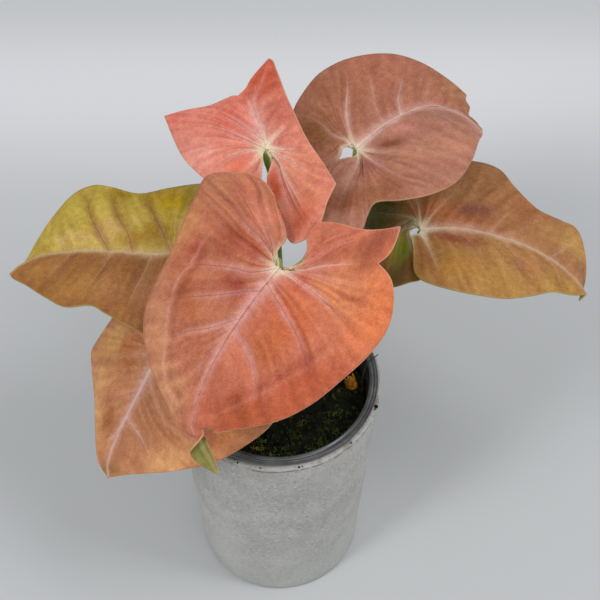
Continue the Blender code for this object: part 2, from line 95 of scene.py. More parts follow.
VEIN_LAYERS = ("rib", "away", "ink", "edge", "rib_ink")
NO_VEIN = 99.0                # a distance past any reach of a vein, mm
COLLAR_ENDS = 24              # points over which a collar fades at either end

# Crumbs and moss: a spot of moss is its place and how light it is
CRUMB_COUNT = 1300
CRUMB_SIZES = (0.35, 0.5, 0.5, 0.7, 1.0)
CRUMB_TONES = (0.05, 0.1, 0.15, 0.3, 0.45, 0.6, 0.6, 0.68)
MOSS_SPOTS = [
    (-6.8, -22.0, 1.0), (-2.4, -25.4, 1.0), (12.3, -27.0, 1.0), (-13.2, -26.0, 1.0), (8.0, -13.4, 0.8),
    (-5.5, -20.6, 0.95), (2.5, -22.5, 0.75), (6.0, -18.0, 0.72), (15.0, -20.0, 0.75), (17.5, -12.0, 0.7),
    (11.0, -22.5, 0.72), (20.5, -8.0, 0.72), (-9.5, -26.5, 0.9), (5.0, -27.5, 0.8), (21.0, -17.0, 0.75)]
RIM_SPECK_RADIUS = 34.55
RIM_SPECKS = ((-17, 0.75), (-19, 0.45), (-45, 0.5), (-78, 0.5), (-76, 0.3), (-99, 0.4), (-112, 0.45))

# Light and camera, in metres, watts and degrees
LAMPS = {"left strip": dict(place=(-0.41, -0.41, 0.80), size=(0.16, 0.54), power=2.2),
         "right strip": dict(place=(0.47, -0.17, 0.92), size=(0.20, 0.80), power=2.8)}
LAMP_AIM = (0.0, 0.0, 0.05)
ROOM_LIGHT = 0.45
LENS, CAMERA_TILT, CAMERA_PLACE = 120.0, 36.0, (0.00756, -0.37473, 0.65758)

# What a leaf has where its own entry doesn't say otherwise
USUAL = dict(back_sweep=0, ear=(None, None), bends=[], tip_ease=None, collars=None, collar_glow=(0, 0),
             dents=[], rib_fade=0.7, knee=0.15)

# Each leaf lies and bends as its solid does, and has its side veins and its colours besides.
# A vein is its line on the flat blade, its ink (dark below 0, pale above) and its glow.
# A wash is a soft oval of colour: its middle, its two half widths, its turn, tone and share.
# A dent is such an oval with a depth, and a collar is a vein that follows the margin.
LEAVES = {
    "front": dict(
        joint=(1.2, -8.4, 170.0), heading=-131, dip=36, roll=-4,
        length=62, half_width=40, arch=16, sweep=8, back=-14, back_sweep=-60,
        rise=(-4, -4), curl=(-18, -22), ear=((-20, 116, 140), None),
        bends=[(55, 60, 10, 50, 0), (59, 64, 0, 0, 165)],
        midrib=[(0, 0), (16, -2), (37, -3), (50, -2), (61, 0), (74, 0)],
        left_sinus=[(0, 0), (-4, 4), (-8, 4), (-12, 1.5), (-17, 1.5)],
        left=[[(-17, 1.5), (-18.5, 8), (-19, 16), (-22, 27)],
              [(-22, 27), (-17, 28.5), (-13.5, 26.5)],
              [(-13.5, 26.5), (-11, 33), (-4, 38), (6, 38), (18, 35), (31, 30.5), (42, 23.5),
               (52, 12), (59, 2.8)],
              [(59, 2.8), (62.5, 4.4), (66, 4.6), (70, 2.8), (74, 0)]],
        right_sinus=[(0, 0), (-1, -0.9), (-2, -2.1), (-3.4, -3.1), (-5, -3.3), (-9, -2.8), (-14, -7),
                     (-21, -12)],
        right=[[(-21, -12), (-27, -19), (-27.5, -27), (-24, -37), (-15, -41), (1, -40), (15, -37),
                (35, -34), (46, -25), (54, -13), (59, -2.8)],
               [(59, -2.8), (62, -2.1), (67, -1.6), (71, -1), (74, 0)]],
        stalk_foot=(0, -3), stalk_arrives=(0.06, -0.82, 0.50), slot="leaf_pink",
        left_veins=[
            ([(0, 0), (-3, 5.2), (-8, 7.2), (-13, 10), (-17, 16), (-20.3, 22)], -0.3, 0.2),
            ([(0, 0), (-3.2, 6.5), (-7, 11), (-10.5, 18), (-13.5, 26.5)], 0.5, 0.5),
            ([(0, 0), (-3.4, 9.4), (-6.4, 20), (-10.5, 33)], -0.3, 0.3),
            ([(0, 0), (0.3, 11.9), (1.5, 20.1), (7, 38)], -0.8, 0.6),
            ([(6, -1), (11, 9.5), (15.3, 17), (21.6, 24.4), (28, 31.8)], -0.9, 0.6),
            ([(23, -2.3), (28, 6.8), (33.4, 11.7), (39, 14.6), (47, 18.8)], -0.4, 0.6),
            ([(59, -0.3), (59, 2.5)], 0, 0)],
        right_veins=[
            ([(0, 0), (-1.4, -3), (-4.6, -6), (-9, -11.5), (-15.4, -16.5), (-21.3, -18.4), (-27.3, -24)],
             -0.8, 0.4),
            ([(0, 0), (-3, -5.8), (-4.7, -12.2), (-5.9, -18.7), (-9.4, -25.9), (-14, -41)], -0.8, 0.4),
            ([(0, 0), (1, -8), (1.5, -18), (1, -30), (1, -40)], -0.2, 0.1),
            ([(0, 0), (6.2, -7.6), (7.8, -12.6), (13.2, -24.1), (16.5, -28.6), (20, -36.5)], -0.9, 0.6),
            ([(9.1, -1.3), (13, -6.9), (18.2, -13.7), (25.3, -24), (33, -34.6)], -0.9, 0.4),
            ([(19.6, -2.2), (27.5, -9.4), (31.8, -15), (36.5, -19.7), (42, -29)], -0.8, 0.6),
            ([(28.6, -2.8), (37.1, -5.4), (45.9, -7.5), (54.5, -12)], -0.3, 0.2),
            ([(59, -0.3), (59, -2.5)], 0, 0)],
        ground=((0.65, 0.185, 0.100), (0.58, 0.187, 0.098)),
        glow=(0.92, 0.48, 0.44), star=(0.97, 0.78, 0.56), rib_ink=-0.6, rib_glow=0.95, star_size=5.0,
        collars=([(6, 28), (13, 27), (23.5, 22.6), (36, 15.6), (45, 9.2), (53, 3)],
                 [(2, -28), (9, -27), (16, -27), (21, -27.7), (26, -27.1), (31, -25.2), (41, -19.9),
                  (50.5, -13.2), (54.5, -3.1)]), collar_glow=(0.12, 0.35),
        washes=[
            (-4, 33, 14, 9, 0, (0.85, 0.23, 0.079), 0.9), (28, 26, 16, 7, -25, (0.56, 0.10, 0.033), 0.8),
            (45, 13, 12, 7, -50, (0.46, 0.083, 0.019), 0.8), (-4, 20, 10, 8, 0, (0.80, 0.27, 0.11), 0.9),
            (1, 8, 3.5, 2.5, 0, (0.55, 0.066, 0.016), 0.7), (14, -7, 3, 3, 0, (0.52, 0.084, 0.044), 0.6),
            (12, 12, 9, 7, 0, (0.71, 0.16, 0.055), 0.8), (22, 11, 8, 6, 0, (0.55, 0.13, 0.035), 0.8),
            (-13, 10, 6, 5, 0, (0.57, 0.16, 0.092), 0.8), (-16, 23, 7, 5, 0, (0.39, 0.091, 0.044), 0.8),
            (37, -26, 20, 5, 35, (0.64, 0.27, 0.14), 0.9), (51, -12, 10, 5, 35, (0.72, 0.33, 0.16), 0.9),
            # The dark washes at (1, -19), (0.6, -11), (12, -10) and (-4, 23.5) lie on the dents: deeper red,
            # and painted shade in the dents
            (24, -21, 11, 4, 50, (0.49, 0.13, 0.036), 0.7), (1, -19, 5, 5, 0, (0.36, 0.055, 0.020), 0.8),
            (0.6, -11, 3, 4, 0, (0.39, 0.028, 0.016), 0.7),
            (12, -10, 4.5, 3.5, -60, (0.36, 0.036, 0.019), 0.8),
            (10, -27, 4, 4, 0, (0.41, 0.065, 0.024), 0.7),
            (-17, -34, 10, 8, 0, (0.62, 0.24, 0.12), 0.9), (-4, 23.5, 1.3, 4.5, 12, (0.48, 0.12, 0.039), 0.7),
            (-19, -24, 6, 6, 0, (0.56, 0.16, 0.091), 0.6), (-13, -13, 5, 5, 0, (0.85, 0.27, 0.17), 0.7),
            (8, -37, 12, 4, 0, (0.71, 0.29, 0.11), 0.8)],
        dents=[(12, -10, 4, 3, -60, -0.8), (0, -15, 4, 6, 0, -0.7), (-4, 24, 2, 5, 10, -0.7)]),
    "top": dict(
        joint=(-3.3, 39.0, 170.0), heading=86, dip=-10, roll=-24,
        length=38, half_width=34, arch=-6, sweep=16, back=-6,
        rise=(2, 2), curl=(-8, -6),
        midrib=[(0, 0), (7, 2), (16, 5), (21, 5), (26, 2.5), (34, -1)],
        left_sinus=[(0, 0), (-1.2, 1.2), (-3.5, 0.9), (-8, 0.8), (-11.5, 0.7), (-15, 2)],
        left=[[(-15, 2), (-17, 7), (-16, 14), (-10, 19), (2, 30), (13, 35.5), (25, 39)],
              [(25, 39), (24, 31), (22.4, 21.5), (23.3, 16), (23.8, 13), (23.2, 11)],
              [(23.2, 11), (25.4, 8.2), (28.1, 6.4), (30.8, 3.6), (34, -1)]],
        right_sinus=[(0, 0), (-5, -2.5), (-11, -1.5), (-16, -3), (-24, -7.5), (-32, -10)],
        right=[[(-32, -10), (-37, -13), (-36, -18), (-31, -22), (-24, -23.5), (-17.5, -26)],
               [(-17.5, -26), (-10, -21.5), (1, -14.5), (10, -10), (19, -6), (29, -3.1), (32.6, -2.4),
                (34, -1)]],
        stalk_foot=(1.5, 5.5), stalk_arrives=(-0.15, -0.05, 1.0), slot="leaf_pink",
        left_veins=[
            ([(0, 0), (-1.2, 2), (-4.5, 4.6), (-8, 7.4), (-13, 11), (-16.3, 14)], -0.3, 0.3),
            ([(0, 0), (0.5, 7), (-1.4, 14), (-5, 19), (-8, 20.8)], -0.5, 0.5),
            ([(0, 0), (6.2, 9.6), (11.7, 19), (15.7, 28.6), (19, 37.2)], -0.9, 0.5),
            ([(3.4, 1), (9.3, 8.1), (16.3, 15.6), (23.3, 26)], -0.8, 0.5),
            ([(12.2, 3.7), (16.9, 6.7), (23.2, 11)], -0.4, 0.4)],
        right_veins=[
            ([(0, 0), (-5.5, -4.4), (-12.6, -7), (-20.6, -10), (-28, -13.3), (-36.4, -16)], -1, 0.3),
            ([(0, 0), (-6, -5), (-15.2, -10), (-25, -16.5), (-28.5, -22.6)], 0.5, 0.6),
            ([(0, 0), (-5.8, -9.1), (-11.7, -16.6), (-15, -24.5)], -0.4, 0.6),
            ([(0, 0), (-2, -9), (-4, -17.8)], -0.6, 0.8),
            ([(1.5, 0.3), (6, -5.5), (9, -10.4)], -0.5, 0.6),
            ([(14.4, 4.4), (18.5, -2.2), (20, -5.7)], -0.4, 0.2)],
        ground=((0.86, 0.27, 0.195), (0.80, 0.26, 0.175)),
        glow=(0.96, 0.60, 0.54), star=(0.98, 0.84, 0.56), rib_ink=0.1, rib_glow=0.75, star_size=5.5,
        rib_fade=1.0, knee=0.6,
        washes=[
            (2, 24, 9, 9, 0, (1.00, 0.40, 0.31), 0.8), (27, 2, 10, 9, 0, (0.59, 0.085, 0.032), 0.9),
            (14, 15, 7, 6, 0, (0.79, 0.16, 0.10), 0.7), (-4.5, 9, 4, 4, 0, (0.92, 0.21, 0.11), 0.8),
            (-9, -13, 6, 6, 0, (0.94, 0.34, 0.19), 0.7), (-20, -17, 7, 4, 0, (0.90, 0.31, 0.16), 0.7),
            (-29, -15, 7, 4, 0, (0.64, 0.13, 0.061), 0.9), (-16, -5, 7, 2.2, 15, (0.74, 0.071, 0.004), 0.8),
            (13, -6, 5, 6, 0, (0.62, 0.14, 0.10), 0.7), (22, 36, 4, 5, 0, (0.87, 0.19, 0.14), 0.7)]),
    "back": dict(
        joint=(25.7, 44.6, 163.0), heading=36, dip=2, roll=-4,
        length=52, half_width=38, arch=10, sweep=-6, back=-10,
        rise=(14, 14), curl=(-16, -20), tip_ease=16,
        midrib=[(0, 0), (14, 3), (26, 3), (34, 1), (36.8, -6), (37.2, -12), (36.9, -17), (36.1, -20.9)],
        left_sinus=[(0, 0), (-0.8, 2.2), (-2.6, 2.8), (-4.3, 2.3), (-5.6, 0.9), (-8, -0.6), (-12, -1.6),
                    (-16.5, -5.5)],
        left=[[(-16.5, -5.5), (-19.5, 1), (-19.5, 8), (-16, 15), (-9, 23), (0, 28.5), (9, 32), (20, 32),
               (32, 27), (39, 19), (44, 8), (46, 1)],
              [(46, 1), (44.6, -0.6), (44.3, -3.6), (42.1, -6.2), (42.6, -8.3), (42.4, -10.9), (40, -15.4),
               (36.1, -20.9)]],
        right_sinus=[(0, 0), (-1.2, -2), (-3.2, -2.7), (-5, -2.2), (-6.8, -1.4), (-8.4, -0.8), (-12.5, -2),
                     (-17, -7), (-26, -17.5)],
        right=[[(-26, -17.5), (-32, -25), (-30, -33), (-24, -34), (-17, -29), (-12, -26.5),
                (-5, -30.5), (4, -34), (14, -34.5), (24, -30), (32, -24), (36.1, -20.9)]],
        stalk_foot=(5.5, 4.2), stalk_arrives=(0.0, 0.05, 1.0), slot="leaf_rose",
        left_veins=[
            ([(0, 0), (-0.4, 4.5), (-2.8, 9), (-4.5, 15), (-9, 23)], 0.2, 0.35),
            ([(0, 0), (0.5, 3), (3.4, 9.2), (6.4, 14.4), (11.5, 20.9), (19, 32)], 0.35, 0.6),
            ([(14, 3), (15, 9), (18, 16), (22, 24), (26, 29.5)], 0.1, 0.15),
            ([(20.8, 3.2), (23.6, 9.1), (27.9, 13.7), (36, 23)], 0.25, 0.35),
            ([(30, 2.3), (33, 6), (37, 10), (42, 13)], 0.05, 0.1)],
        right_veins=[
            ([(0, 0), (-1.4, -3.8), (-6, -8.2), (-13.2, -13.2), (-21.2, -19.8), (-31.3, -28)], 0.12, 0.3),
            ([(0, 0), (0.3, -12.6), (1.8, -21.1), (5.5, -29.1), (7, -34.3)], 0.3, 0.3),
            ([(0, 0), (5, -7), (10, -14), (14, -24), (18, -33.5)], -0.3, 0.1),
            ([(18, 3.2), (18, -8), (20.5, -20), (25, -29.3)], 0.05, 0.1),
            ([(30, 2.3), (31, -8), (32, -17), (33, -23)], 0.15, 0.1)],
        ground=((0.45, 0.17, 0.10), (0.48, 0.20, 0.13)),
        glow=(0.84, 0.50, 0.43), star=(0.95, 0.78, 0.58), rib_ink=0.65, rib_glow=0.95, star_size=6.0,
        washes=[
            (-8, 12, 8, 9, 0, (0.25, 0.085, 0.022), 0.9), (7, 24, 8, 7, 0, (0.34, 0.12, 0.053), 0.7),
            (26, 24, 14, 9, 0, (0.51, 0.17, 0.10), 0.8), (43, 3, 6, 8, 0, (0.46, 0.20, 0.10), 0.8),
            (17, -3, 5, 4, 0, (0.79, 0.31, 0.23), 0.7), (22, -20, 12, 9, 0, (0.59, 0.25, 0.16), 0.9),
            # This dark wash lies on the dent: deeper red, and painted shade in the dent
            (10.2, -5.1, 4.6, 2.4, -15, (0.27, 0.078, 0.040), 0.95),
            (-3, -12, 4, 4, 0, (0.40, 0.12, 0.11), 0.7), (-4, -20, 9, 7, 0, (0.45, 0.165, 0.085), 0.8),
            (-20, -20, 8, 6, 0, (0.27, 0.07, 0.014), 0.8), (-9, -26, 8, 6, 0, (0.33, 0.11, 0.045), 0.8),
            (10, -15, 5, 4, 0, (0.63, 0.25, 0.15), 0.6)],
        dents=[(10.2, -5.2, 4.5, 2.6, -15, -1.3)]),
    "right": dict(
        joint=(46.7, 27.0, 143.0), heading=4, dip=6, roll=-2,
        length=62, half_width=30, arch=20, sweep=-32, back=60,
        rise=(10, 10), curl=(-14, -14), ear=((-30, 100, 150), None),
        midrib=[(0, 0), (13, 1), (25, -1), (40, -5), (53, -10), (62, -14)],
        left_sinus=[(0, 0), (-0.8, 1.8), (-2.3, 2.4), (-3.4, 1.6), (-3.5, -0.8), (-3.2, -5), (-2.5, -10),
                    (-1.5, -14)],
        left=[[(-1.5, -14), (-1.5, -18.5), (-8, -18.6), (-12, -16), (-19, -9), (-24, 0), (-24, 11),
               (-19, 20), (-11, 26), (0, 29), (12, 29.5), (22, 29), (27, 26.5), (31, 20),
               (38, 13), (45, 11.5), (50, 11), (54, 6), (59, -4), (62, -14)]],
        right_sinus=[(0, 0), (-0.8, -1.5), (-2.4, -1.9), (-3.2, -3.2), (-3.4, -6.5), (-3.6, -10.4),
                     (-4.1, -15), (-4.2, -18.2)],
        right=[[(-4.2, -18.2), (-3.3, -21.6), (-0.8, -23.9), (6, -26.5), (15, -28.5), (27, -29), (38, -26),
                (48, -21), (56, -18.5), (62, -14)]],
        stalk_foot=(6, 0), stalk_arrives=(-0.15, 0.05, 1.0), slot="leaf_olive",
        left_veins=[
            ([(0, 0), (-0.9, 2.5), (-3, 3.8), (-5.8, 2.2), (-7.8, -3), (-9.6, -9), (-12, -16)], 0.1, 0.1),
            ([(0, 0), (-1, 3.2), (-3.8, 5), (-9, 5), (-16, 2.8), (-24, 0.5)], 0.1, 0.1),
            ([(0, 0), (-1.2, 3.8), (-4.5, 7.2), (-12, 13), (-19.5, 19.5)], 0.2, 0.2),
            ([(0, 0), (0.5, 8), (-0.5, 18), (0, 29)], 0.2, 0.1),
            ([(0, 0), (2, 3), (5.6, 7.3), (9.9, 12.1), (13.5, 17), (18, 29.3)], 0.2, 0.25),
            ([(23, -0.6), (28.2, 6.8), (33, 12.5), (36, 15)], 0.15, 0.15),
            ([(44, -6.5), (48.9, 0.9), (51.5, 9.5)], 0.15, 0.2)],
        right_veins=[
            ([(0, 0), (1.3, -5), (2, -9.5), (3.5, -17.9), (5, -26.2)], 0.2, 0.35),
            ([(10, 0.9), (14, -3), (17, -8), (20, -17), (24, -28.9)], -0.6, 0.1),
            ([(26.6, -1.3), (31.3, -9.1), (36.9, -17.2), (42, -24)], 0.1, 0.1),
            ([(42, -5.6), (47, -11), (50, -16), (52, -19.6)], 0.2, 0.1)],
        ground=((0.44, 0.19, 0.073), (0.48, 0.23, 0.070)),
        glow=(0.80, 0.50, 0.38), star=(0.97, 0.84, 0.62), rib_ink=0.65, rib_glow=0.75, star_size=6.0,
        washes=[
            (12, 4, 12, 6, 0, (0.43, 0.12, 0.035), 0.8), (7, 8, 5, 4, 0, (0.72, 0.23, 0.086), 0.7),
            (50, 4, 8, 6, 0, (0.58, 0.31, 0.094), 0.9), (10, -17, 12, 6, 0, (0.54, 0.24, 0.051), 0.8),
            (25, -22, 12, 6, 0, (0.54, 0.29, 0.070), 0.8), (9, -4, 7, 3, -20, (0.32, 0.063, 0.027), 0.8),
            (37, -12, 9, 5, 0, (0.51, 0.21, 0.082), 0.7), (50, -17, 8, 4, 0, (0.52, 0.28, 0.061), 0.8),
            (-13, 13, 8, 8, 0, (0.085, 0.095, 0.006), 0.95), (-6.5, -4, 4.5, 6, 0, (0.36, 0.42, 0.02), 0.95),
            (-11, -13, 6, 5, 0, (0.22, 0.16, 0.015), 0.9), (-11, 5, 6, 2.5, 0, (0.28, 0.12, 0.03), 0.7),
            (18, 8.5, 7, 3, 0, (0.25, 0.075, 0.050), 0.9), (17, -5, 6, 3, -15, (0.36, 0.093, 0.052), 0.6),
            (-1, -10, 3, 8, 0, (0.35, 0.12, 0.036), 0.8), (33, 12, 8, 5, 0, (0.37, 0.12, 0.043), 0.7)]),
    "left": dict(
        joint=(-30.2, 21.5, 140.0), heading=170, dip=8, roll=2,
        length=64, half_width=32, arch=22, sweep=0, back=-10,
        rise=(2, 8), curl=(-14, -16),
        midrib=[(0, 0), (8, 2.5), (23, 2), (39, 2), (50, 3), (56, 5.5), (60, 9)],
        left_sinus=[(0, 0), (-6, 2), (-13, 4), (-19, 10)],
        left=[[(-19, 10), (-23, 19), (-21, 29), (-12, 35), (0, 36), (13, 31), (21, 27), (26, 24.5),
               (35, 25), (43, 21), (52, 15), (58, 11.3), (60, 9)]],
        right_sinus=[(0, 0), (-6, -2), (-12, -4), (-17, -8)],
        right=[[(-17, -8), (-21, -14), (-20, -22), (-12, -27), (0, -27.5), (10, -25), (20, -22),
                (31, -25), (37, -26), (43, -23), (48, -15), (53, -4), (56, 4), (60, 9)]],
        stalk_foot=(-5, 3), stalk_arrives=(-0.5, 0.25, 0.9), slot="leaf_olive",
        left_veins=[
            ([(0, 0), (-5, 9), (-10, 20), (-16, 32.5)], 0.1, 0.1),
            ([(2, 0.8), (0.6, 10.9), (0, 21.1), (0, 36)], 0.1, 0.05),
            ([(10, 2.4), (11.2, 11.6), (12.4, 17.9), (14, 30.5)], 0.2, 0.12),
            ([(24, 2), (26.2, 10.2), (29, 18.5), (33, 25)], 0.12, 0.08),
            ([(38, 2), (42, 9), (45, 16), (47, 18.5)], 0.1, 0.1)],
        right_veins=[
            ([(0, 0), (-4, -6), (-10, -14), (-13, -26.3)], -0.3, 0.2),
            ([(2, 0.8), (3.4, -9), (1.5, -18), (0, -27.5)], -0.2, 0.2),
            ([(4, 1.6), (8.5, -6.5), (13.8, -14.3), (19, -22.3)], -1.9, 0.3),
            ([(17, 2.4), (20.7, -5.9), (25.5, -12.5), (31, -25)], -1.8, 0.2),
            ([(25, 2), (29.9, -4.6), (34.9, -12), (40, -24.8)], -1.7, 0.3),
            ([(41, 2.1), (44, -3.2), (47, -8.3), (48.8, -13)], -0.3, 0.3)],
        ground=((0.34, 0.133, 0.036), (0.55, 0.39, 0.060)),
        glow=(0.78, 0.52, 0.28), star=(0.90, 0.70, 0.40), rib_ink=0.6, rib_glow=0.6, star_size=4.0,
        washes=[
            (8, -20, 6, 5, 0, (0.52, 0.30, 0.000), 0.9), (27, -7, 5, 5, 0, (0.68, 0.41, 0.14), 0.8),
            (26, -21, 7, 3, 0, (0.33, 0.19, 0.000), 0.8), (16, -22, 4, 3, 0, (0.33, 0.20, 0.013), 0.7),
            (10, -7, 4, 4, 0, (0.35, 0.17, 0.000), 0.8), (38, -3, 8, 3, 0, (0.72, 0.45, 0.15), 0.7),
            (18, -3, 4, 3, 0, (0.45, 0.19, 0.000), 0.7), (-2, -18, 5, 8, 0, (0.30, 0.17, 0.02), 0.8),
            (35, 18, 12, 6, 0, (0.43, 0.19, 0.042), 0.8), (50, 9, 7, 5, 0, (0.50, 0.22, 0.052), 0.8),
            (7.8, -18.3, 3, 2.2, 0, (0.54, 0.38, 0.002), 0.8),
            (17.3, -10.5, 3, 3, 0, (0.67, 0.46, 0.11), 0.7),
            (6, 20, 7, 8, 0, (0.48, 0.19, 0.09), 0.8), (20, 18, 6, 5, 0, (0.46, 0.20, 0.070), 0.7)]),
    "low": dict(
        joint=(-37.0, -4.1, 122.0), heading=-124, dip=40, roll=6,
        length=52, half_width=40, arch=12, sweep=0, back=-10,
        rise=(0, -12), curl=(-12, -16),
        midrib=[(0, 0), (16, -1), (34, -2), (44, -1.5), (48.5, 1)],
        left_sinus=[(0, 0), (-5, 2), (-11, 5), (-16, 12)],
        left=[[(-16, 12), (-20, 22), (-19, 33), (-12, 42), (-3, 46), (5, 45.5), (13, 42),
               (24, 34.5), (33, 24), (39, 15), (44, 7), (48.5, 1)]],
        right_sinus=[(0, 0), (-5, -2), (-11, -5), (-16, -9)],
        right=[[(-16, -9), (-19, -16), (-16, -23), (-8, -26.5), (2, -26.5), (9, -28), (16, -29),
                (20, -26), (29, -18), (38, -12), (46, -6), (48.5, 1)]],
        stalk_foot=(-5, -3), stalk_arrives=(-0.75, -0.25, 0.7), slot="leaf_rose",
        left_veins=[
            ([(0, 0), (-4, 10), (-9, 22), (-14, 40)], 0.1, 0.1),
            ([(0, 0), (3, 12), (6, 28), (6, 45.3)], -0.2, 0.1),
            ([(11, -0.7), (16.9, 5.7), (22, 14), (24, 34.5)], -0.3, 0.2),
            ([(27, -1.7), (30, 5.9), (34, 12), (38.5, 15.8)], 0.3, 0.4)],
        right_veins=[
            ([(0, 0), (-2, -10), (-4, -18), (-6, -26.7)], -0.2, 0.1),
            ([(4, -0.2), (10, -13.4), (15, -21.3), (18.5, -27.5)], -0.3, 0.3),
            ([(17.3, -1), (23.2, -8.5), (28, -13), (31, -16.6)], -0.4, 0.2),
            ([(28.6, -1.8), (35.8, -4), (41, -9.5)], 0.3, 0.4)],
        ground=((0.58, 0.235, 0.11), (0.66, 0.275, 0.125)),
        glow=(0.88, 0.52, 0.46), star=(0.90, 0.70, 0.50), rib_ink=1.0, rib_glow=0.8, star_size=4.0,
        washes=[
            (9, -20, 8, 6, 0, (0.74, 0.39, 0.13), 0.8), (28, -17, 14, 4, 30, (0.78, 0.39, 0.16), 0.9),
            (31, -8, 4, 3, 0, (0.37, 0.12, 0.023), 0.8), (8, -12, 6, 4, 0, (0.51, 0.14, 0.033), 0.7),
            (32, 20, 11, 6, -50, (0.96, 0.46, 0.19), 0.9), (24, 14, 6, 5, 0, (0.68, 0.27, 0.11), 0.7),
            (14, 34, 8, 6, 0, (0.96, 0.35, 0.13), 0.8), (47, 0, 4, 4, 0, (0.27, 0.14, 0.000), 0.7)]),
}


# Where the blades lie

def turn(axis, angle):
    return np.array(Matrix.Rotation(angle, 3, Vector(axis)))


def joint_frame(leaf):
    """Forward, left and up directions of the blade at its joint, as columns."""
    heading, dip, roll = (math.radians(leaf[name]) for name in ("heading", "dip", "roll"))
    forward = np.array([math.cos(dip) * math.cos(heading), math.cos(dip) * math.sin(heading),
                        -math.sin(dip)])
    level_left = np.array([-math.sin(heading), math.cos(heading), 0.0])
    left = level_left * math.cos(roll) + np.cross(forward, level_left) * math.sin(roll)
    return np.stack([forward, left, np.cross(forward, left)], 1)


def bend_rates(leaf, x):
    """Degrees per millimetre that the midrib bends down, turns left and twists at x."""
    length = leaf["length"]
    if x < 0:
        return leaf["back"] / length, leaf["back_sweep"] * min(1, -x / BACK_EASE) / length, 0.0
    along = 2 * x / length ** 2
    down, left, twist = leaf["arch"] * along, leaf["sweep"] * along, 0.0
    for start, end, *turns in leaf["bends"]:
        if start < x < end:
            share = (x - start) / (end - start)
            rate = 6 * share * (1 - share) / (end - start)
            down += turns[0] * rate
            left += turns[1] * rate
            twist += turns[2] * rate
    return down, left, twist


def spine_table(leaf, step=0.5, back=-45.0, front=80.0):
    """Place and frame of the blade's centre line, at even steps behind and ahead of the joint."""
    places = np.arange(back, front + step / 2, step)
    start = int(np.argmin(np.abs(places)))
    points = np.zeros((len(places), 3))
    frames = np.zeros((len(places), 3, 3))
    points[start] = leaf["joint"]
    frames[start] = joint_frame(leaf)
    for sign, stop in ((1, len(places) - 1), (-1, 0)):
        for i in range(start, stop, sign):
            rates = np.radians(bend_rates(leaf, places[i] + sign * step / 2)) * sign * step
            forward, left, up = frames[i].T
            bend = turn(left, rates[0]) @ turn(up, rates[1]) @ turn(forward, rates[2])
            frames[i + sign] = bend @ frames[i]
            middle = (frames[i][:, 0] + frames[i + sign][:, 0]) / 2
            points[i + sign] = points[i] + middle * sign * step
    return places, points, frames


def soft_step(value):
    value = np.clip(value, 0, 1)
    return value * value * (3 - 2 * value)


def across(leaf, y, side, steps=8):
    """How far a point y from the midrib lies out and up, once its half is lifted and curled."""
    rise, curl = leaf["rise"][side], leaf["curl"][side]
    out = np.zeros_like(y)
    up = np.zeros_like(y)
    for i in range(steps):
        slope = np.radians(rise + curl * ((i + 0.5) / steps * y / leaf["half_width"]) ** 2)
        out += np.cos(slope) * y / steps
        up += np.sin(slope) * y / steps
    return out, up


def bent(leaf, table, flat, side, relief=0.0):
    """World places, in mm, of flat blade points on one half (side 0 is left, 1 is right)."""
    places, points, frames = table
    x, y = flat[..., 0], flat[..., 1]
    sign = 1 if side == 0 else -1
    distance = sign * y
    out, up = across(leaf, distance, side)
    if leaf["ear"][side]:
        fold, start, end = leaf["ear"][side]
        angle = np.degrees(np.arctan2(np.abs(distance), x))
        share = soft_step((angle - start) / (end - start))
        up = up + math.tan(math.radians(fold)) * np.hypot(x, y) * share

    def along(values):
        return np.stack([np.interp(x, places, values[:, i]) for i in range(3)], -1)

    return (along(points) + (sign * out)[..., None] * along(frames[:, :, 1])
            + (up + relief)[..., None] * along(frames[:, :, 2]))


def smooth(points, count):
    """Places at even steps along a smooth curve through the points."""
    points = np.array(points, float)
    if len(points) == 2:
        return points[0] + (points[1] - points[0]) * np.linspace(0, 1, count)[:, None]
    chords = np.linalg.norm(np.diff(points, axis=0), axis=1)
    knots = np.concatenate([[0], np.cumsum(chords)])
    slopes = np.zeros_like(points)
    slopes[1:-1] = (points[2:] - points[:-2]) / (knots[2:] - knots[:-2])[:, None]
    slopes[0] = 1.5 * (points[1] - points[0]) / chords[0] - 0.5 * slopes[1]
    slopes[-1] = 1.5 * (points[-1] - points[-2]) / chords[-1] - 0.5 * slopes[-2]
    fine = []
    for i, chord in enumerate(chords):
        t = np.linspace(0, 1, 17)[:-1, None]
        fine.append((2 * t ** 3 - 3 * t ** 2 + 1) * points[i] + (3 * t ** 2 - 2 * t ** 3) * points[i + 1]
                    + chord * ((t ** 3 - 2 * t ** 2 + t) * slopes[i] + (t ** 3 - t ** 2) * slopes[i + 1]))
    fine = np.concatenate(fine + [points[-1:]])
    return even(fine, np.linspace(0, 1, count))


def even(line, shares):
    """Places at the given shares of a polyline's length."""
    return np.stack([np.interp(shares, share_along(line), line[:, i])
                     for i in range(line.shape[1])], -1)


def share_along(line):
    lengths = np.concatenate([[0], np.cumsum(np.linalg.norm(np.diff(line, axis=0), axis=1))])
    return lengths / lengths[-1]


def nearest_share(line, point):
    return share_along(line)[np.argmin(np.linalg.norm(line - np.array(point), axis=1))]


# The veins, and how far each point of a blade is from them

Guide = namedtuple("Guide", "start end line bow ink glow")


def turned_share(first, between, last):
    """How far round the joint a point lies from the first direction towards the last, 0 to 1."""
    turns = [math.atan2(first[0] * p[1] - first[1] * p[0], first[0] * p[0] + first[1] * p[1])
             for p in (between, last)]
    return min(1.0, max(0.0, turns[0] / turns[1]))


def distance_to(row, line):
    """Distance of each point of a row from a vein that runs beside it."""
    along = np.gradient(line, axis=0)
    along /= np.maximum(np.linalg.norm(along, axis=1), 1e-9)[:, None]
    apart = row - line
    return np.abs(apart[:, 0] * along[:, 1] - apart[:, 1] * along[:, 0])


def to_line(points, line):
    """Distance of each point from a polyline given by close points, and which of them is nearest."""
    flat = points.reshape(-1, 2)
    gaps = np.stack([np.hypot(flat[:, 0] - x, flat[:, 1] - y) for x, y in line])
    shape = points.shape[:-1]
    return gaps.min(0).reshape(shape), gaps.argmin(0).reshape(shape)


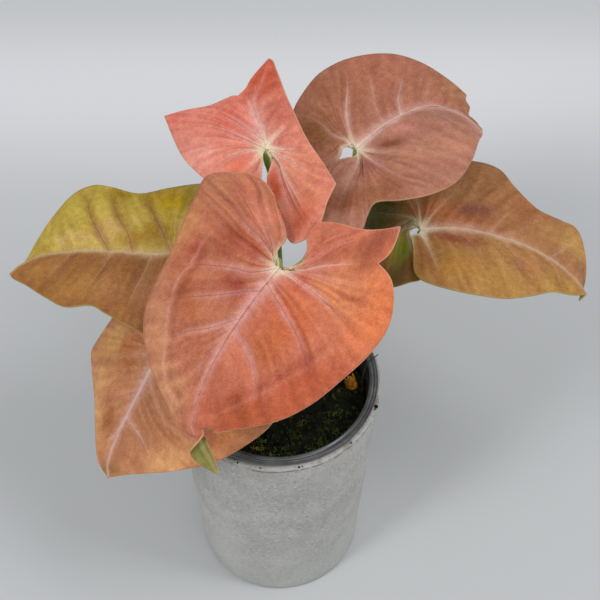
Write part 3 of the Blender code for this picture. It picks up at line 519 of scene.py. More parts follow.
def cloud(points, size, seed):
    """Smooth noise between -1 and 1 over flat points, with bumps about that many mm across."""
    flat = points.reshape(-1, points.shape[-1]) / size
    values = [noise.noise(Vector((p[0] + seed, p[1] - seed, seed * 0.37))) for p in flat]
    return np.array(values).reshape(points.shape[:-1])


def hump(distance, width):
    """1 at no distance, fading to 0 beyond the width."""
    return np.exp(-(distance / width) ** 2)


class Half:
    """One half of a flat blade, side 0 at the left: rows of points from the midrib to the margin that
    follow the side veins, and for each point how near it is to the veins, the margin and the joint."""

    def __init__(self, leaf, side, seed):
        self.leaf, self.side, self.seed = leaf, side, seed
        self.name = ("left", "right")[side]
        self.outline = np.concatenate([smooth(run, 160) for run in leaf[self.name]])
        self.midrib = smooth(leaf["midrib"], 400)
        self.lay_rows()
        self.rib = to_line(self.rows, self.midrib)[0]
        self.rib[:, 0] = 0.0
        self.edge = to_line(self.rows, self.outline)[0]
        self.edge[:, -1] = 0.0
        self.out = np.tile(ROW_SHARES, (len(self.rows), 1))
        self.ahead = self.rows[..., 0]
        self.reach = np.hypot(self.ahead, self.rows[..., 1])
        fold_places = [np.tile(self.margin[:, None] / FOLD_WIDTH, (1, SPANS + 1)), FOLD_COUNT * self.out]
        self.folds = cloud(np.stack(fold_places, -1), 1.0, seed + 9)
        self.valley = np.clip(-self.inks - 1, 0, 1) * hump(self.away, 1.5) * self.fade_out(0.75, 0.25)
        self.lay_collar()

    def fade_out(self, start, length):
        """1 near the midrib, fading to 0 from a share of the way out over another share."""
        return 1 - soft_step((self.out - start) / length)

    def guides(self):
        """The lines that the rows follow: the sinus, each side vein and the tip."""
        t = ROW_SHARES[:, None]
        tip = self.leaf["midrib"][-1]
        sinus, veins = self.leaf[self.name + "_sinus"], self.leaf[self.name + "_veins"]
        found = []
        for points, ink, glow in [(sinus, 0, 0), *veins, ([tip, tip], 0, 0)]:
            start = nearest_share(self.midrib, points[0]) if found else 0.0
            end = nearest_share(self.outline, points[-1]) if found else 0.0
            foot, head = even(self.midrib, [start])[0], even(self.outline, [end])[0]
            chord = foot + (head - foot) * t
            if points[0] == points[-1]:
                start = end = 1.0
                line = chord = np.tile(np.array(tip, float), (SPANS + 1, 1))
            else:
                line = even(smooth(points, 80), t[:, 0])
                line = line + (chord[0] - line[0]) * (1 - t) + (chord[-1] - line[-1]) * t
            found.append(Guide(start, end, line, line - chord, ink, glow))
        return found

    def lay_rows(self):
        """The rows, each point's distance from the nearest vein, that vein's ink and glow, and how far
        along the margin each row ends."""
        length = np.linalg.norm(np.diff(self.outline, axis=0), axis=1).sum()
        guides = self.guides()
        laid = []
        for one, two in zip(guides[:-1], guides[1:]):
            count = max(2, math.ceil((two.end - one.end) * length / ROW_STEP))
            for i in range(count + (two is guides[-1])):
                margin = one.end + (two.end - one.end) * i / count
                row = self.row_between(one, two, i / count)
                near = [distance_to(row, guide.line) if guide.ink else np.full(len(row), NO_VEIN)
                        for guide in (one, two)]
                first = near[0] <= near[1]
                laid.append((row, np.where(first, *near), np.where(first, one.ink, two.ink),
                             np.where(first, one.glow, two.glow), length * margin))
        self.rows, self.away, self.inks, self.glows, self.margin = (np.array(part) for part in zip(*laid))

    def row_between(self, one, two, share):
        t = ROW_SHARES[:, None]
        start = even(self.midrib, [one.start + (two.start - one.start) * share])[0]
        end = even(self.outline, [one.end + (two.end - one.end) * share])[0]
        if two.start == 0:
            share = turned_share(one.line[-1], end, two.line[-1])
        return start + (end - start) * t + one.bow * (1 - share) + two.bow * share

    def lay_collar(self):
        """The vein that follows the margin: 1 along its line, and 1 in the dent on its inner side."""
        self.collar, self.collar_dent = np.zeros_like(self.edge), np.zeros_like(self.edge)
        if self.leaf["collars"]:
            line = smooth(self.leaf["collars"][self.side], 160)
            gap, nearest = to_line(self.rows, line)
            inner = self.edge > to_line(line, self.outline)[0][nearest]
            fade = soft_step(np.minimum(nearest, len(line) - 1 - nearest) / COLLAR_ENDS)
            self.collar = hump(gap, 0.55) * fade
            self.collar_dent = hump(gap - 2.0, 1.5) * inner * fade


# The blades' colours and relief

def oval(points, x, y, wide, high, angle):
    """1 at the middle of an oval on the flat blade, fading to 0 outside it."""
    angle = math.radians(angle)
    dx, dy = points[..., 0] - x, points[..., 1] - y
    along = (dx * math.cos(angle) + dy * math.sin(angle)) / wide
    beside = (dy * math.cos(angle) - dx * math.sin(angle)) / high
    return np.exp(-(along ** 2 + beside ** 2) ** 1.3)


def blend(colour, tone, share):
    return colour + (np.array(tone) - colour) * share[..., None]


def washed(half):
    """The grounds of the two halves, with the washes over them and folds and specks as shade."""
    rows, seed = half.rows, half.seed
    places = rows
    for size, far, step in DRIFTS:
        places = places + far * np.stack([cloud(rows, size, seed + step + more) for more in (0, 31)], -1)
    own, other = (np.array(half.leaf["ground"][side]) for side in (half.side, 1 - half.side))
    share = 0.5 + 0.5 * soft_step(half.rib / 1.2)
    colour = own * share[..., None] + other * (1 - share)[..., None]
    for x, y, wide, high, angle, tone, amount in half.leaf["washes"]:
        colour = blend(colour, tone, amount * oval(places, x, y, wide, high, angle))
    shade = FOLD_SHADE * half.folds + PUCKER_SHADE * cloud(rows, 2.0, seed + 13) \
        + SPECK_SHADE * cloud(rows, 0.9, seed + 15)
    shade = shade * soft_step(half.reach / 5) - VALLEY_SHADE * half.valley - COLLAR_SHADE * half.collar_dent
    return colour * (1 + shade[..., None] * np.array(SHADE_TINT))


def painted(half):
    """The blade's soft colours, with pale bands along the veins and a pale star at the joint."""
    leaf = half.leaf
    colour = washed(half)
    grain = 0.8 + 0.5 * cloud(half.rows, 2.2, half.seed + 7)
    narrow = 1 - leaf["rib_fade"] * soft_step(half.ahead / leaf["length"])
    along_veins = half.glows * half.fade_out(0.25, 0.55) * grain * hump(half.away, 1.2)
    along_rib = leaf["rib_glow"] * narrow * grain * hump(half.rib, 0.5 + 2.0 * narrow) * (half.ahead > -1)
    along_collar = leaf["collar_glow"][half.side] * half.collar * grain
    for band in (along_veins, along_rib, along_collar):
        colour = blend(colour, leaf["glow"], np.clip(band, 0, 1))
    rays = np.maximum(hump(half.away, 0.9), hump(half.rib, 0.9))
    colour = blend(colour, leaf["star"], 0.95 * hump(half.reach, leaf["star_size"] * (0.35 + 0.65 * rays)))
    hole_rim = to_line(half.rows, smooth(leaf[half.name + "_sinus"], 80))[0]
    colour = blend(colour, leaf["star"], 0.8 * hump(hole_rim, 0.8) * hump(half.reach, 8))
    return np.clip(colour, 0, 1)


def relief_of(half):
    """Height of the blade's own relief, mm: veins (pale ones stand out, dark ones are sunk), the
    pillows and folds between them, and dents."""
    leaf, rows, seed = half.leaf, half.rows, half.seed
    pillow = PILLOW * soft_step(half.away / 4.0) * soft_step(half.rib / 4) * soft_step(half.edge / 5)
    strength = np.sign(half.inks) * np.minimum(np.abs(half.inks), 1) ** 0.5
    ridge = VEIN_RIDGE * strength * half.fade_out(0.6, 0.4) * hump(half.away, 0.55)
    ridge += RIB_RIDGE * np.sign(leaf["rib_ink"]) * hump(half.rib, 0.65) * soft_step(half.edge / 3)
    swell = BROAD_SWELL * cloud(rows, 11.0, seed + 3) + FINE_SWELL * cloud(rows, 3.5, seed + 5) \
        + FOLD_HEIGHT * half.folds
    height = pillow + ridge + swell * soft_step(half.edge / 5) * soft_step(half.rib / 3)
    height -= VALLEY_DEPTH * half.valley + COLLAR_DENT * half.collar_dent
    for x, y, wide, high, angle, depth in leaf["dents"]:
        height += depth * oval(rows, x, y, wide, high, angle)
    height *= soft_step(half.reach / 6)
    if leaf["ear"][half.side]:
        above = np.maximum(height, 0.0) + 0.12 * soft_step(-half.ahead / 3)
        height = np.where(half.ahead < 1, above, height)
    return height


# Building in mesh code

def grid_of(body, rows, columns):
    """The vertices of a new grid, as a table of rows."""
    made = bmesh.ops.create_grid(body, x_segments=rows - 1, y_segments=columns - 1, size=1.0)["verts"]
    table = [[None] * columns for _ in range(rows)]
    for vert in made:
        i = round((vert.co.x + 1) / 2 * (rows - 1))
        j = round((vert.co.y + 1) / 2 * (columns - 1))
        table[i][j] = vert
    return table


def finish_piece(name, body, materials, nodes=(), smooth_shade=True):
    mesh = bpy.data.meshes.new(name)
    body.to_mesh(mesh)
    body.free()
    if smooth_shade:
        mesh.shade_smooth()
    piece = bpy.data.objects.new(name, mesh)
    bpy.context.scene.collection.objects.link(piece)
    for material in materials:
        mesh.materials.append(material)
    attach(piece, "root")
    if nodes:
        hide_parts(*nodes)
    return piece


def give_wall(piece, thickness):
    wall = piece.modifiers.new("Thickness", "SOLIDIFY")
    wall.thickness = thickness * MM
    return wall


def half_places(half, table):
    """World places, in mm, of one half's points, moved so that both halves meet at the midrib."""
    leaf, rows, height = half.leaf, half.rows, relief_of(half)
    places = bent(leaf, table, rows, half.side, height)
    rib_place = np.array([bent(leaf, table, point, 0 if point[1] >= 0 else 1, lift)
                          for point, lift in zip(rows[:, 0], height[:, 0])])
    spread = soft_step(half.out)
    if leaf["tip_ease"]:
        from_tip = np.linalg.norm(rows[:, -1] - np.array(leaf["midrib"][-1]), axis=1)
        spread = spread * soft_step(from_tip / leaf["tip_ease"])[:, None]
    return places + (rib_place - places[:, 0])[:, None, :] * (1 - spread)[..., None]


def lay_half(body, half, table):
    """One half's mesh, with its colours and what its material reads kept on the vertices."""
    floats = {key: body.verts.layers.float[key] for key in VEIN_LAYERS}
    wash, flat_uv = body.verts.layers.float_color["wash"], body.loops.layers.uv["flat"]
    places, colours = half_places(half, table), painted(half)
    rib_fade = np.where(half.ahead > -1, 1 - 0.6 * soft_step(half.ahead / half.leaf["length"]), 0)
    ink = np.clip(half.inks, -1, 1) * half.fade_out(0.45, 0.5)
    values = dict(zip(VEIN_LAYERS, (half.rib, half.away, ink, half.edge, half.leaf["rib_ink"] * rib_fade)))
    grid = grid_of(body, len(half.rows), SPANS + 1)
    where = {}
    for i, line in enumerate(grid):
        for j, vert in enumerate(line):
            vert.co = places[i, j] * MM
            for key, layer in floats.items():
                vert[layer] = float(values[key][i, j])
            vert[wash] = (*colours[i, j], 1.0)
            where[vert] = half.rows[i, j]
    faces = {face for line in grid for vert in line for face in vert.link_faces}
    for face in faces:
        for loop in face.loops:
            loop[flat_uv].uv = where[loop.vert] / 100
    if half.side == 1:
        bmesh.ops.reverse_faces(body, faces=list(faces))


def make_blade(name, leaf, materials, seed):
    table = spine_table(leaf)
    body = bmesh.new()
    for key in VEIN_LAYERS:
        body.verts.layers.float.new(key)
    body.verts.layers.float_color.new("wash")
    body.loops.layers.uv.new("flat")
    for side in (0, 1):
        lay_half(body, Half(leaf, side, seed), table)
    bmesh.ops.remove_doubles(body, verts=body.verts[:], dist=0.00002)
    bmesh.ops.dissolve_degenerate(body, edges=body.edges[:], dist=0.00001)
    piece = finish_piece("leaf_" + name, body, materials, ["blade_" + name])
    wall = give_wall(piece, LEAF_THICKNESS)
    wall.offset = -1.0
    wall.material_offset = 1
    wall.material_offset_rim = 0


def bezier(a, b, c, d, count):
    t = np.linspace(0, 1, count)[:, None]
    return (1 - t) ** 3 * a + 3 * (1 - t) ** 2 * t * b + 3 * (1 - t) * t ** 2 * c + t ** 3 * d


def soil_top(radius):
    share = min(1.0, radius / CUP_TOP_RADIUS)
    return SOIL_EDGE_TOP + SOIL_MOUND * (1 - share ** 2)


def stalk_path(leaf, count=60):
    """Centre line of a leaf stalk, from its foot in the soil to the underside of the blade."""
    arrives = np.array(leaf["stalk_arrives"], float)
    arrives /= np.linalg.norm(arrives)
    slant = float(arrives @ joint_frame(leaf)[:, 2])
    tilt = STALK_END_RADIUS * math.sqrt(1 - slant ** 2)
    end, seat, tip = (np.array(leaf["joint"], float) - arrives * clear / slant
                      for clear in (BLADE_THICKNESS + GAP + tilt, LEAF_THICKNESS + tilt, LEAF_THICKNESS))
    foot = np.array([*leaf["stalk_foot"], soil_top(0) - STALK_DEPTH + GAP])
    collar = np.array([*leaf["stalk_foot"], soil_top(0) + GAP])
    reach = np.linalg.norm(end - collar)
    rise = bezier(collar, collar + np.array([0, 0, 0.4 * reach]), end - arrives * 0.3 * reach, end, count)
    return np.concatenate([smooth([foot, collar], 6)[:-1], rise, [seat, tip]])


def tube(body, path, sides, radius_at):
    """A round wall swept along a path; radius_at(share, angle) gives its radius in mm."""
    layer = body.verts.layers.float.new("along")
    steps = np.gradient(path, axis=0)
    steps /= np.linalg.norm(steps, axis=1)[:, None]
    side_way = np.cross(steps[0], [0.0, 1.0, 0.2])
    shares = share_along(path)
    grid = grid_of(body, len(path), sides + 1)
    for i, (place, step) in enumerate(zip(path, steps)):
        side_way = side_way - step * float(side_way @ step)
        side_way /= np.linalg.norm(side_way)
        other = np.cross(step, side_way)
        for j in range(sides + 1):
            angle = 2 * math.pi * (j % sides) / sides
            radius = radius_at(shares[i], angle)
            grid[i][j].co = (place + radius * (math.cos(angle) * side_way + math.sin(angle) * other)) * MM
            grid[i][j][layer] = float(shares[i])
    bmesh.ops.remove_doubles(body, verts=[v for row in grid for v in row], dist=1e-7)


def close_tube(body):
    ends = [edge for edge in body.edges if edge.is_boundary]
    bmesh.ops.holes_fill(body, edges=ends, sides=0)
    bmesh.ops.recalc_face_normals(body, faces=body.faces[:])


def make_stalk(name, leaf, material):
    """A leaf stalk: widest where its sheath clasps the base, channelled on top, swollen at the joint."""

    def radius_at(share, angle):
        radius = STALK_RADIUS + (STALK_END_RADIUS - STALK_RADIUS) * share
        sheath = math.exp(-((share - SHEATH_SHARE) / 0.16) ** 2)
        wing = max(0.0, math.cos(2 * angle)) ** 3
        channel = max(0.0, math.cos(angle - math.pi / 2)) ** 4
        knee = math.exp(-((share - KNEE_SHARE) / 0.035) ** 2)
        ripple = 0.03 * math.sin(9 * angle)
        if share > 0.9999:
            return STALK_TIP_RADIUS
        swell = 0.28 * sheath * wing - 0.16 * channel * (1 - knee) + leaf["knee"] * knee
        return radius * (1 + swell) + ripple

    body = bmesh.new()
    tube(body, stalk_path(leaf), 24, radius_at)
    close_tube(body)
    finish_piece("petiole_" + name, body, [material], ["stalk_" + name])


def spun(profile, steps=180):
    """A closed turned body from a profile in mm."""
    body = bmesh.new()
    verts = [body.verts.new((radius * MM, 0.0, height * MM)) for radius, height in profile]
    edges = [body.edges.new(pair) for pair in zip(verts[:-1], verts[1:])]
    bmesh.ops.spin(body, geom=verts + edges, cent=(0, 0, 0), axis=(0, 0, 1), angle=2 * math.pi,
                   steps=steps, use_merge=True)
    bmesh.ops.remove_doubles(body, verts=body.verts[:], dist=1e-6)
    bmesh.ops.recalc_face_normals(body, faces=body.faces[:])
    return body


def rounded(centre, radius, start, end, count=6):
    angles = np.radians(np.linspace(start, end, count))
    return [(centre[0] + radius * math.cos(a), centre[1] + radius * math.sin(a)) for a in angles]


def straight(start, end, step):
    """Points from start up to, but without, end."""
    count = max(1, round(math.dist(start, end) / step))
    return [tuple(np.array(start) + (np.array(end) - np.array(start)) * i / count) for i in range(count)]


def make_cover_pot(material):
    """A tall tapered cup with a rounded rim and foot, a little uneven as cast cement is."""
    rim, foot = COVER_RIM_RADIUS, COVER_FOOT_RADIUS
    inner_rim, inner_foot = rim - COVER_WALL, foot - COVER_WALL
    round_top = COVER_HEIGHT - RIM_ROUND
    profile = [(0, COVER_FLOOR)] + straight((inner_foot, COVER_FLOOR), (inner_rim, round_top), 8)
    profile += rounded((inner_rim + RIM_ROUND, round_top), RIM_ROUND, 180, 90)
    profile += rounded((rim - RIM_ROUND, round_top), RIM_ROUND, 90, 0)
    profile += straight((rim - 0.06, COVER_HEIGHT - 2 * RIM_ROUND), (foot, FOOT_ROUND), 1.6)
    profile += rounded((foot - FOOT_ROUND, FOOT_ROUND), FOOT_ROUND, 0, -90, 8)
    profile += [(0, 0)]
    body = spun(profile)
    for vert in body.verts:
        radius = math.hypot(vert.co.x, vert.co.y)
        height = vert.co.z / MM
        if radius > 28 * MM and height > 3 or height > COVER_HEIGHT - 2:
            dent = sum(noise.noise(vert.co * often) * deep for often, deep in CAST_DENTS)
            near_rim = 1.0 if height < COVER_HEIGHT - 3 else 1.4
            scale = 1 - (0.10 + dent * near_rim) * MM / max(radius, 0.01)
            vert.co.x *= scale
            vert.co.y *= scale
    finish_piece("cement_pot", body, [material], ["cover_pot"])


def cup_radius(height):
    share = (height - CUP_FOOT_HEIGHT) / (COVER_HEIGHT - CUP_FOOT_HEIGHT)
    return CUP_FOOT_RADIUS + (CUP_TOP_RADIUS - CUP_FOOT_RADIUS) * share


def make_nursery_pot(material):
    """A thin pot with a rolled lip: an outer bead, a shallow channel and an inner bead."""
    inner, inner_foot = cup_radius(LIP_TOP) - CUP_WALL, CUP_FOOT_RADIUS - CUP_WALL
    floor = CUP_FOOT_HEIGHT + CUP_WALL
    profile = [(0, floor)] + straight((inner_foot, floor), (inner, LIP_TOP - 0.6), 6)
    profile += rounded((inner + INNER_BEAD, LIP_TOP - INNER_BEAD), INNER_BEAD, 180, 60)
    profile += [(inner + out, LIP_TOP - down) for out, down in LIP_CHANNEL]
    profile += rounded((LIP_BEAD_RADIUS, LIP_TOP - LIP_BEAD), LIP_BEAD, 115, -60, 9)
    profile += [(LIP_BEAD_RADIUS + 0.05, LIP_TOP - 1.55), (LIP_BEAD_RADIUS - 0.25, LIP_FOOT + 0.05)]
    profile += [(cup_radius(LIP_FOOT), LIP_FOOT), (CUP_FOOT_RADIUS, CUP_FOOT_HEIGHT), (0, CUP_FOOT_HEIGHT)]
    finish_piece("grower_pot", spun(profile), [material], ["nursery_pot"])


def soil_height(x, y):
    place = Vector((x, y, 0))
    rough = 0.9 * noise.noise(place / 6) + 0.7 * noise.noise(place / 2.3) + 0.4 * abs(noise.noise(place))
    return soil_top(math.hypot(x, y)) + rough - 0.4


def make_soil(material):
    """The soil with a crumbled surface, down to the foot of the grower's pot."""
    limit = cup_radius(SOIL_EDGE_TOP) - CUP_WALL - GAP
    rings, sectors = 72, 260
    body = bmesh.new()
    grid = grid_of(body, rings, sectors + 1)
    for i in range(rings):
        radius = limit * i / (rings - 1)
        for j in range(sectors + 1):
            angle = 2 * math.pi * (j % sectors) / sectors
            x, y = radius * math.cos(angle), radius * math.sin(angle)
            grid[i][j].co = (x * MM, y * MM, soil_height(x, y) * MM)
    bmesh.ops.remove_doubles(body, verts=body.verts[:], dist=1e-6)
    bmesh.ops.recalc_face_normals(body, faces=body.faces[:])
    for height in (SOIL_EDGE_TOP - 3, CUP_FOOT_HEIGHT + CUP_WALL + GAP):
        rim = [edge for edge in body.edges if edge.is_boundary]
        made = bmesh.ops.extrude_edge_only(body, edges=rim)["geom"]
        for vert in (item for item in made if isinstance(item, bmesh.types.BMVert)):
            scale = (cup_radius(height) - CUP_WALL - GAP) * MM / math.hypot(vert.co.x, vert.co.y)
            vert.co = (vert.co.x * scale, vert.co.y * scale, height * MM)
    close_tube(body)
    if sum(face.normal.z for face in body.faces if face.calc_center_median().z > 0.08) < 0:
        bmesh.ops.reverse_faces(body, faces=body.faces[:])
    finish_piece("potting_soil", body, [material], ["soil"])


def add_lump(body, place, size, rng, layer, tone):
    """One irregular crumb, in mm, a little flat."""
    matrix = Matrix.Translation(Vector(place) * MM) @ Matrix.Rotation(rng.uniform(0, 6.28), 4, "Z") \
        @ Matrix.Rotation(rng.uniform(-0.6, 0.6), 4, "X") \
        @ Matrix.Diagonal((size * MM, size * rng.uniform(0.55, 1) * MM, size * 0.7 * MM, 1))
    made = bmesh.ops.create_icosphere(body, subdivisions=1, radius=1.0, matrix=matrix)["verts"]
    middle = Vector(place) * MM
    for vert in made:
        vert.co = middle + (vert.co - middle) * rng.uniform(0.72, 1.2)
        vert[layer] = tone


def scatter_crumbs(body, layer, rng):
    for _ in range(CRUMB_COUNT):
        radius, angle = SOIL_REACH * math.sqrt(rng.random()), rng.uniform(0, 2 * math.pi)
        x, y = radius * math.cos(angle), radius * math.sin(angle)
        size = rng.choice(CRUMB_SIZES)
        tone = rng.choice(CRUMB_TONES)
        add_lump(body, (x, y, soil_height(x, y) + 0.15 * size), size, rng, layer, tone)


def scatter_moss(body, layer, rng):
    for x, y, light in MOSS_SPOTS:
        for _ in range(26):
            px, py = x + rng.gauss(0, 1.1), y + rng.gauss(0, 1.1)
            if math.hypot(px, py) < SOIL_REACH:
                add_lump(body, (px, py, soil_height(px, py) + 0.3), rng.uniform(0.25, 0.5), rng, layer,
                         light * rng.uniform(0.8, 1.0))


def make_crumbs(material):
    """Crumbs of soil, bits of moss and specks on the rim; the tone picks each one's colour."""
    rng = random.Random(7)
    body = bmesh.new()
    layer = body.verts.layers.float.new("tone")
    scatter_crumbs(body, layer, rng)
    scatter_moss(body, layer, rng)
    for angle, size in RIM_SPECKS:
        x, y = (RIM_SPECK_RADIUS * turned(math.radians(angle)) for turned in (math.cos, math.sin))
        add_lump(body, (x, y, COVER_HEIGHT + 0.1), size, rng, layer, 0.05)
    finish_piece("soil_crumbs", body, [material], smooth_shade=False)


def make_husk(material):
    """A dried, curled sheath with a torn edge."""
    body = bmesh.new()
    rows, columns = 15, 17
    grid = grid_of(body, rows, columns)
    base = soil_top(math.hypot(*SHEATH_FOOT)) - 1.5
    for i in range(rows):
        up = i / (rows - 1)
        for j in range(columns):
            round_share = j / (columns - 1)
            tear = noise.noise(Vector((round_share * 8, 3, 1))) - abs(round_share - 0.45)
            height = up * (HUSK_HEIGHT + 4.0 * tear)
            spread = HUSK_RADIUS - 0.5 * up + 0.3 * noise.noise(Vector((up * 3, round_share * 4, 5)))
            angle = math.radians(200 + 210 * round_share)
            x = SHEATH_FOOT[0] + spread * math.cos(angle) - HUSK_LEAN * height
            y = SHEATH_FOOT[1] + spread * math.sin(angle)
            grid[i][j].co = (x * MM, y * MM, (base + height) * MM)
    give_wall(finish_piece("dried_husk", body, [material], ["dry_sheath"]), HUSK_THICKNESS)


def make_thread(material):
    """An old root, a little lumpy, that thins towards its end."""
    body = bmesh.new()
    tube(body, smooth(THREAD, 40), 10,
         lambda share, angle: THREAD_RADIUS * (1 - 0.5 * share) * (1 + 0.2 * math.sin(40 * share + angle)))
    close_tube(body)
    finish_piece("old_root", body, [material], ["root_thread"])


# Materials

class Nodes:
    """Short ways to write a material's node tree."""

    def __init__(self, name):
        self.material = bpy.data.materials.new(name)
        self.material.use_nodes = True
        self.tree = self.material.node_tree
        self.shader = self.tree.nodes["Principled BSDF"]

    def add(self, kind, settings=(), **inputs):
        node = self.tree.nodes.new(kind)
        for key, value in dict(settings).items():
            setattr(node, key, value)
        for key, value in inputs.items():
            self.put(node.inputs[key.replace("_", " ")], value)
        return node

    def put(self, socket, value):
        if isinstance(value, bpy.types.NodeSocket):
            self.tree.links.new(value, socket)
        elif isinstance(value, tuple) and len(value) == 3 and socket.type == "RGBA":
            socket.default_value = (*value, 1.0)
        else:
            socket.default_value = value

    def math(self, operation, a, b=0.0):
        node = self.add("ShaderNodeMath", {"operation": operation})
        self.put(node.inputs[0], a)
        self.put(node.inputs[1], b)
        return node.outputs[0]

    def times(self, a, b):
        return self.math("MULTIPLY", a, b)

    def plus(self, a, b):
        return self.math("ADD", a, b)

    def off(self, value, middle):
        """How far a value is from the middle, either way."""
        return self.math("ABSOLUTE", self.math("SUBTRACT", value, middle))

    def span(self, value, low, high, to_low=0.0, to_high=1.0):
        """A smooth passage from to_low to to_high as value goes from low to high."""
        return self.add("ShaderNodeMapRange", {"interpolation_type": "SMOOTHSTEP"}, Value=value,
                        From_Min=low, From_Max=high, To_Min=to_low, To_Max=to_high).outputs[0]

    def mix(self, share, a, b, kind="MIX"):
        node = self.add("ShaderNodeMix", {"data_type": "RGBA", "blend_type": kind})
        for index, value in ((0, share), (6, a), (7, b)):
            self.put(node.inputs[index], value)
        return node.outputs[2]

    def coat(self, colour, tint, value, low, high, to_low=0.0, to_high=1.0):
        """A tint over a colour, covering a share from to_low to to_high as value goes from low to high."""
        return self.mix(self.span(value, low, high, to_low, to_high), colour, tint)

    def shade(self, colour, value, warm=1.0):
        """A colour multiplied by value, with green and blue moved further from 1."""
        beside = self.math("POWER", value, warm)
        grey = self.add("ShaderNodeCombineColor", Red=value, Green=beside, Blue=beside).outputs[0]
        return self.mix(1.0, colour, grey, "MULTIPLY")

    def attribute(self, name, output="Fac"):
        return self.add("ShaderNodeAttribute", {"attribute_name": name}).outputs[output]

    def place(self):
        return self.add("ShaderNodeTexCoord").outputs["Object"]

    def flat(self):
        return self.add("ShaderNodeUVMap", {"uv_map": "flat"}).outputs[0]

    def noise(self, where, scale, detail=2.0, roughness=0.5):
        return self.add("ShaderNodeTexNoise", Vector=where, Scale=scale, Detail=detail,
                        Roughness=roughness).outputs[0]

    def cells(self, where, scale, feature="DISTANCE_TO_EDGE"):
        return self.add("ShaderNodeTexVoronoi", {"feature": feature}, Vector=where, Scale=scale).outputs[0]

    def bump(self, height, strength, distance):
        return self.add("ShaderNodeBump", Height=height, Strength=strength, Distance=distance).outputs[0]

    def finish(self, colour, roughness, normal=None, **fixed):
        self.put(self.shader.inputs["Base Color"], colour)
        self.put(self.shader.inputs["Roughness"], roughness)
        if normal is not None:
            self.put(self.shader.inputs["Normal"], normal)
        for key, value in fixed.items():
            self.put(self.shader.inputs[key.replace("_", " ")], value)
        return self.material


def leaf_top(name, roughness, rim, pale_vein):
    """Upper side: painted washes, a fine net of veins, crisp lines along the veins, a pale rim."""
    n = Nodes(name)
    flat = n.flat()
    colour = n.attribute("wash", "Color")
    for scale, detail, spread in ((60.0, 4.0, 0.07), (160.0, 3.0, 0.08), (420.0, 2.0, 0.09)):
        speckle = n.span(n.noise(flat, scale, detail, 0.65), 0.3, 0.7, 1 - spread, 1 + spread)
        colour = n.shade(colour, speckle, 1.5)
    bend = n.mix(0.12, flat, n.add("ShaderNodeTexNoise", Vector=flat).outputs["Color"], "LINEAR_LIGHT")
    net = n.cells(bend, 60.0)
    colour = n.mix(n.times(n.span(net, 0.0, 0.10, 1.0, 0.0), 0.06), colour, (0.92, 0.66, 0.54))
    for vein, ink_name, thin, broad in (("away", "ink", 0.24, 0.30), ("rib", "rib_ink", 0.28, 0.80)):
        distance, ink = n.attribute(vein), n.attribute(ink_name)
        dark = n.times(n.math("MAXIMUM", n.times(ink, -1.0), 0.0), 0.62)
        dark = n.times(dark, n.span(distance, 0.02, thin, 1.0, 0.0))
        pale = n.times(n.math("MAXIMUM", ink, 0.0), 0.75)
        pale = n.times(pale, n.span(distance, 0.05, broad, 1.0, 0.0))
        colour = n.mix(dark, colour, n.mix(1.0, colour, (0.48, 0.30, 0.30), "MULTIPLY"))
        colour = n.mix(pale, colour, pale_vein)
    colour = n.coat(colour, rim, n.attribute("edge"), 0.08, 0.32, 0.5, 0.0)
    height = n.plus(n.times(n.span(net, 0.0, 0.35), 0.5), n.times(n.noise(flat, 300.0, 3.0, 0.6), 0.6))
    height = n.plus(height, n.times(n.noise(flat, 85.0, 4.0, 0.65), 1.6))
    return n.finish(colour, roughness, n.bump(height, 0.5, 0.22 * MM), Subsurface_Weight=0.08,
                    Subsurface_Scale=0.8 * MM, Specular_IOR_Level=0.15)


def leaf_under(name):
    """Underside: paler and greener, with the net of veins standing out."""
    n = Nodes(name)
    flat = n.flat()
    wash = n.attribute("wash", "Color")
    near_joint = n.span(n.add("ShaderNodeSeparateColor", Color=wash).outputs[1], 0.40, 0.62)
    colour = n.mix(n.math("SUBTRACT", 0.82, n.times(near_joint, 0.75)), wash, (0.17, 0.22, 0.035))
    colour = n.shade(colour, n.span(n.noise(flat, 45.0, 4.0, 0.6), 0.3, 0.7, 0.85, 1.15))
    net = n.cells(flat, 42.0)
    colour = n.mix(n.times(n.span(net, 0.0, 0.12, 1.0, 0.0), 0.3), colour, (0.30, 0.34, 0.08))
    line = n.math("MAXIMUM", n.span(n.attribute("rib"), 0.3, 0.8, 1.0, 0.0),
                  n.span(n.attribute("away"), 0.2, 0.55, 0.7, 0.0))
    colour = n.mix(n.times(line, 0.6), colour, (0.38, 0.38, 0.12))
    normal = n.bump(n.span(net, 0.0, 0.3, 1.0, 0.0), 0.4, 0.15 * MM)
    return n.finish(colour, 0.55, normal, Subsurface_Weight=0.08, Subsurface_Scale=0.8 * MM,
                    Specular_IOR_Level=0.35)


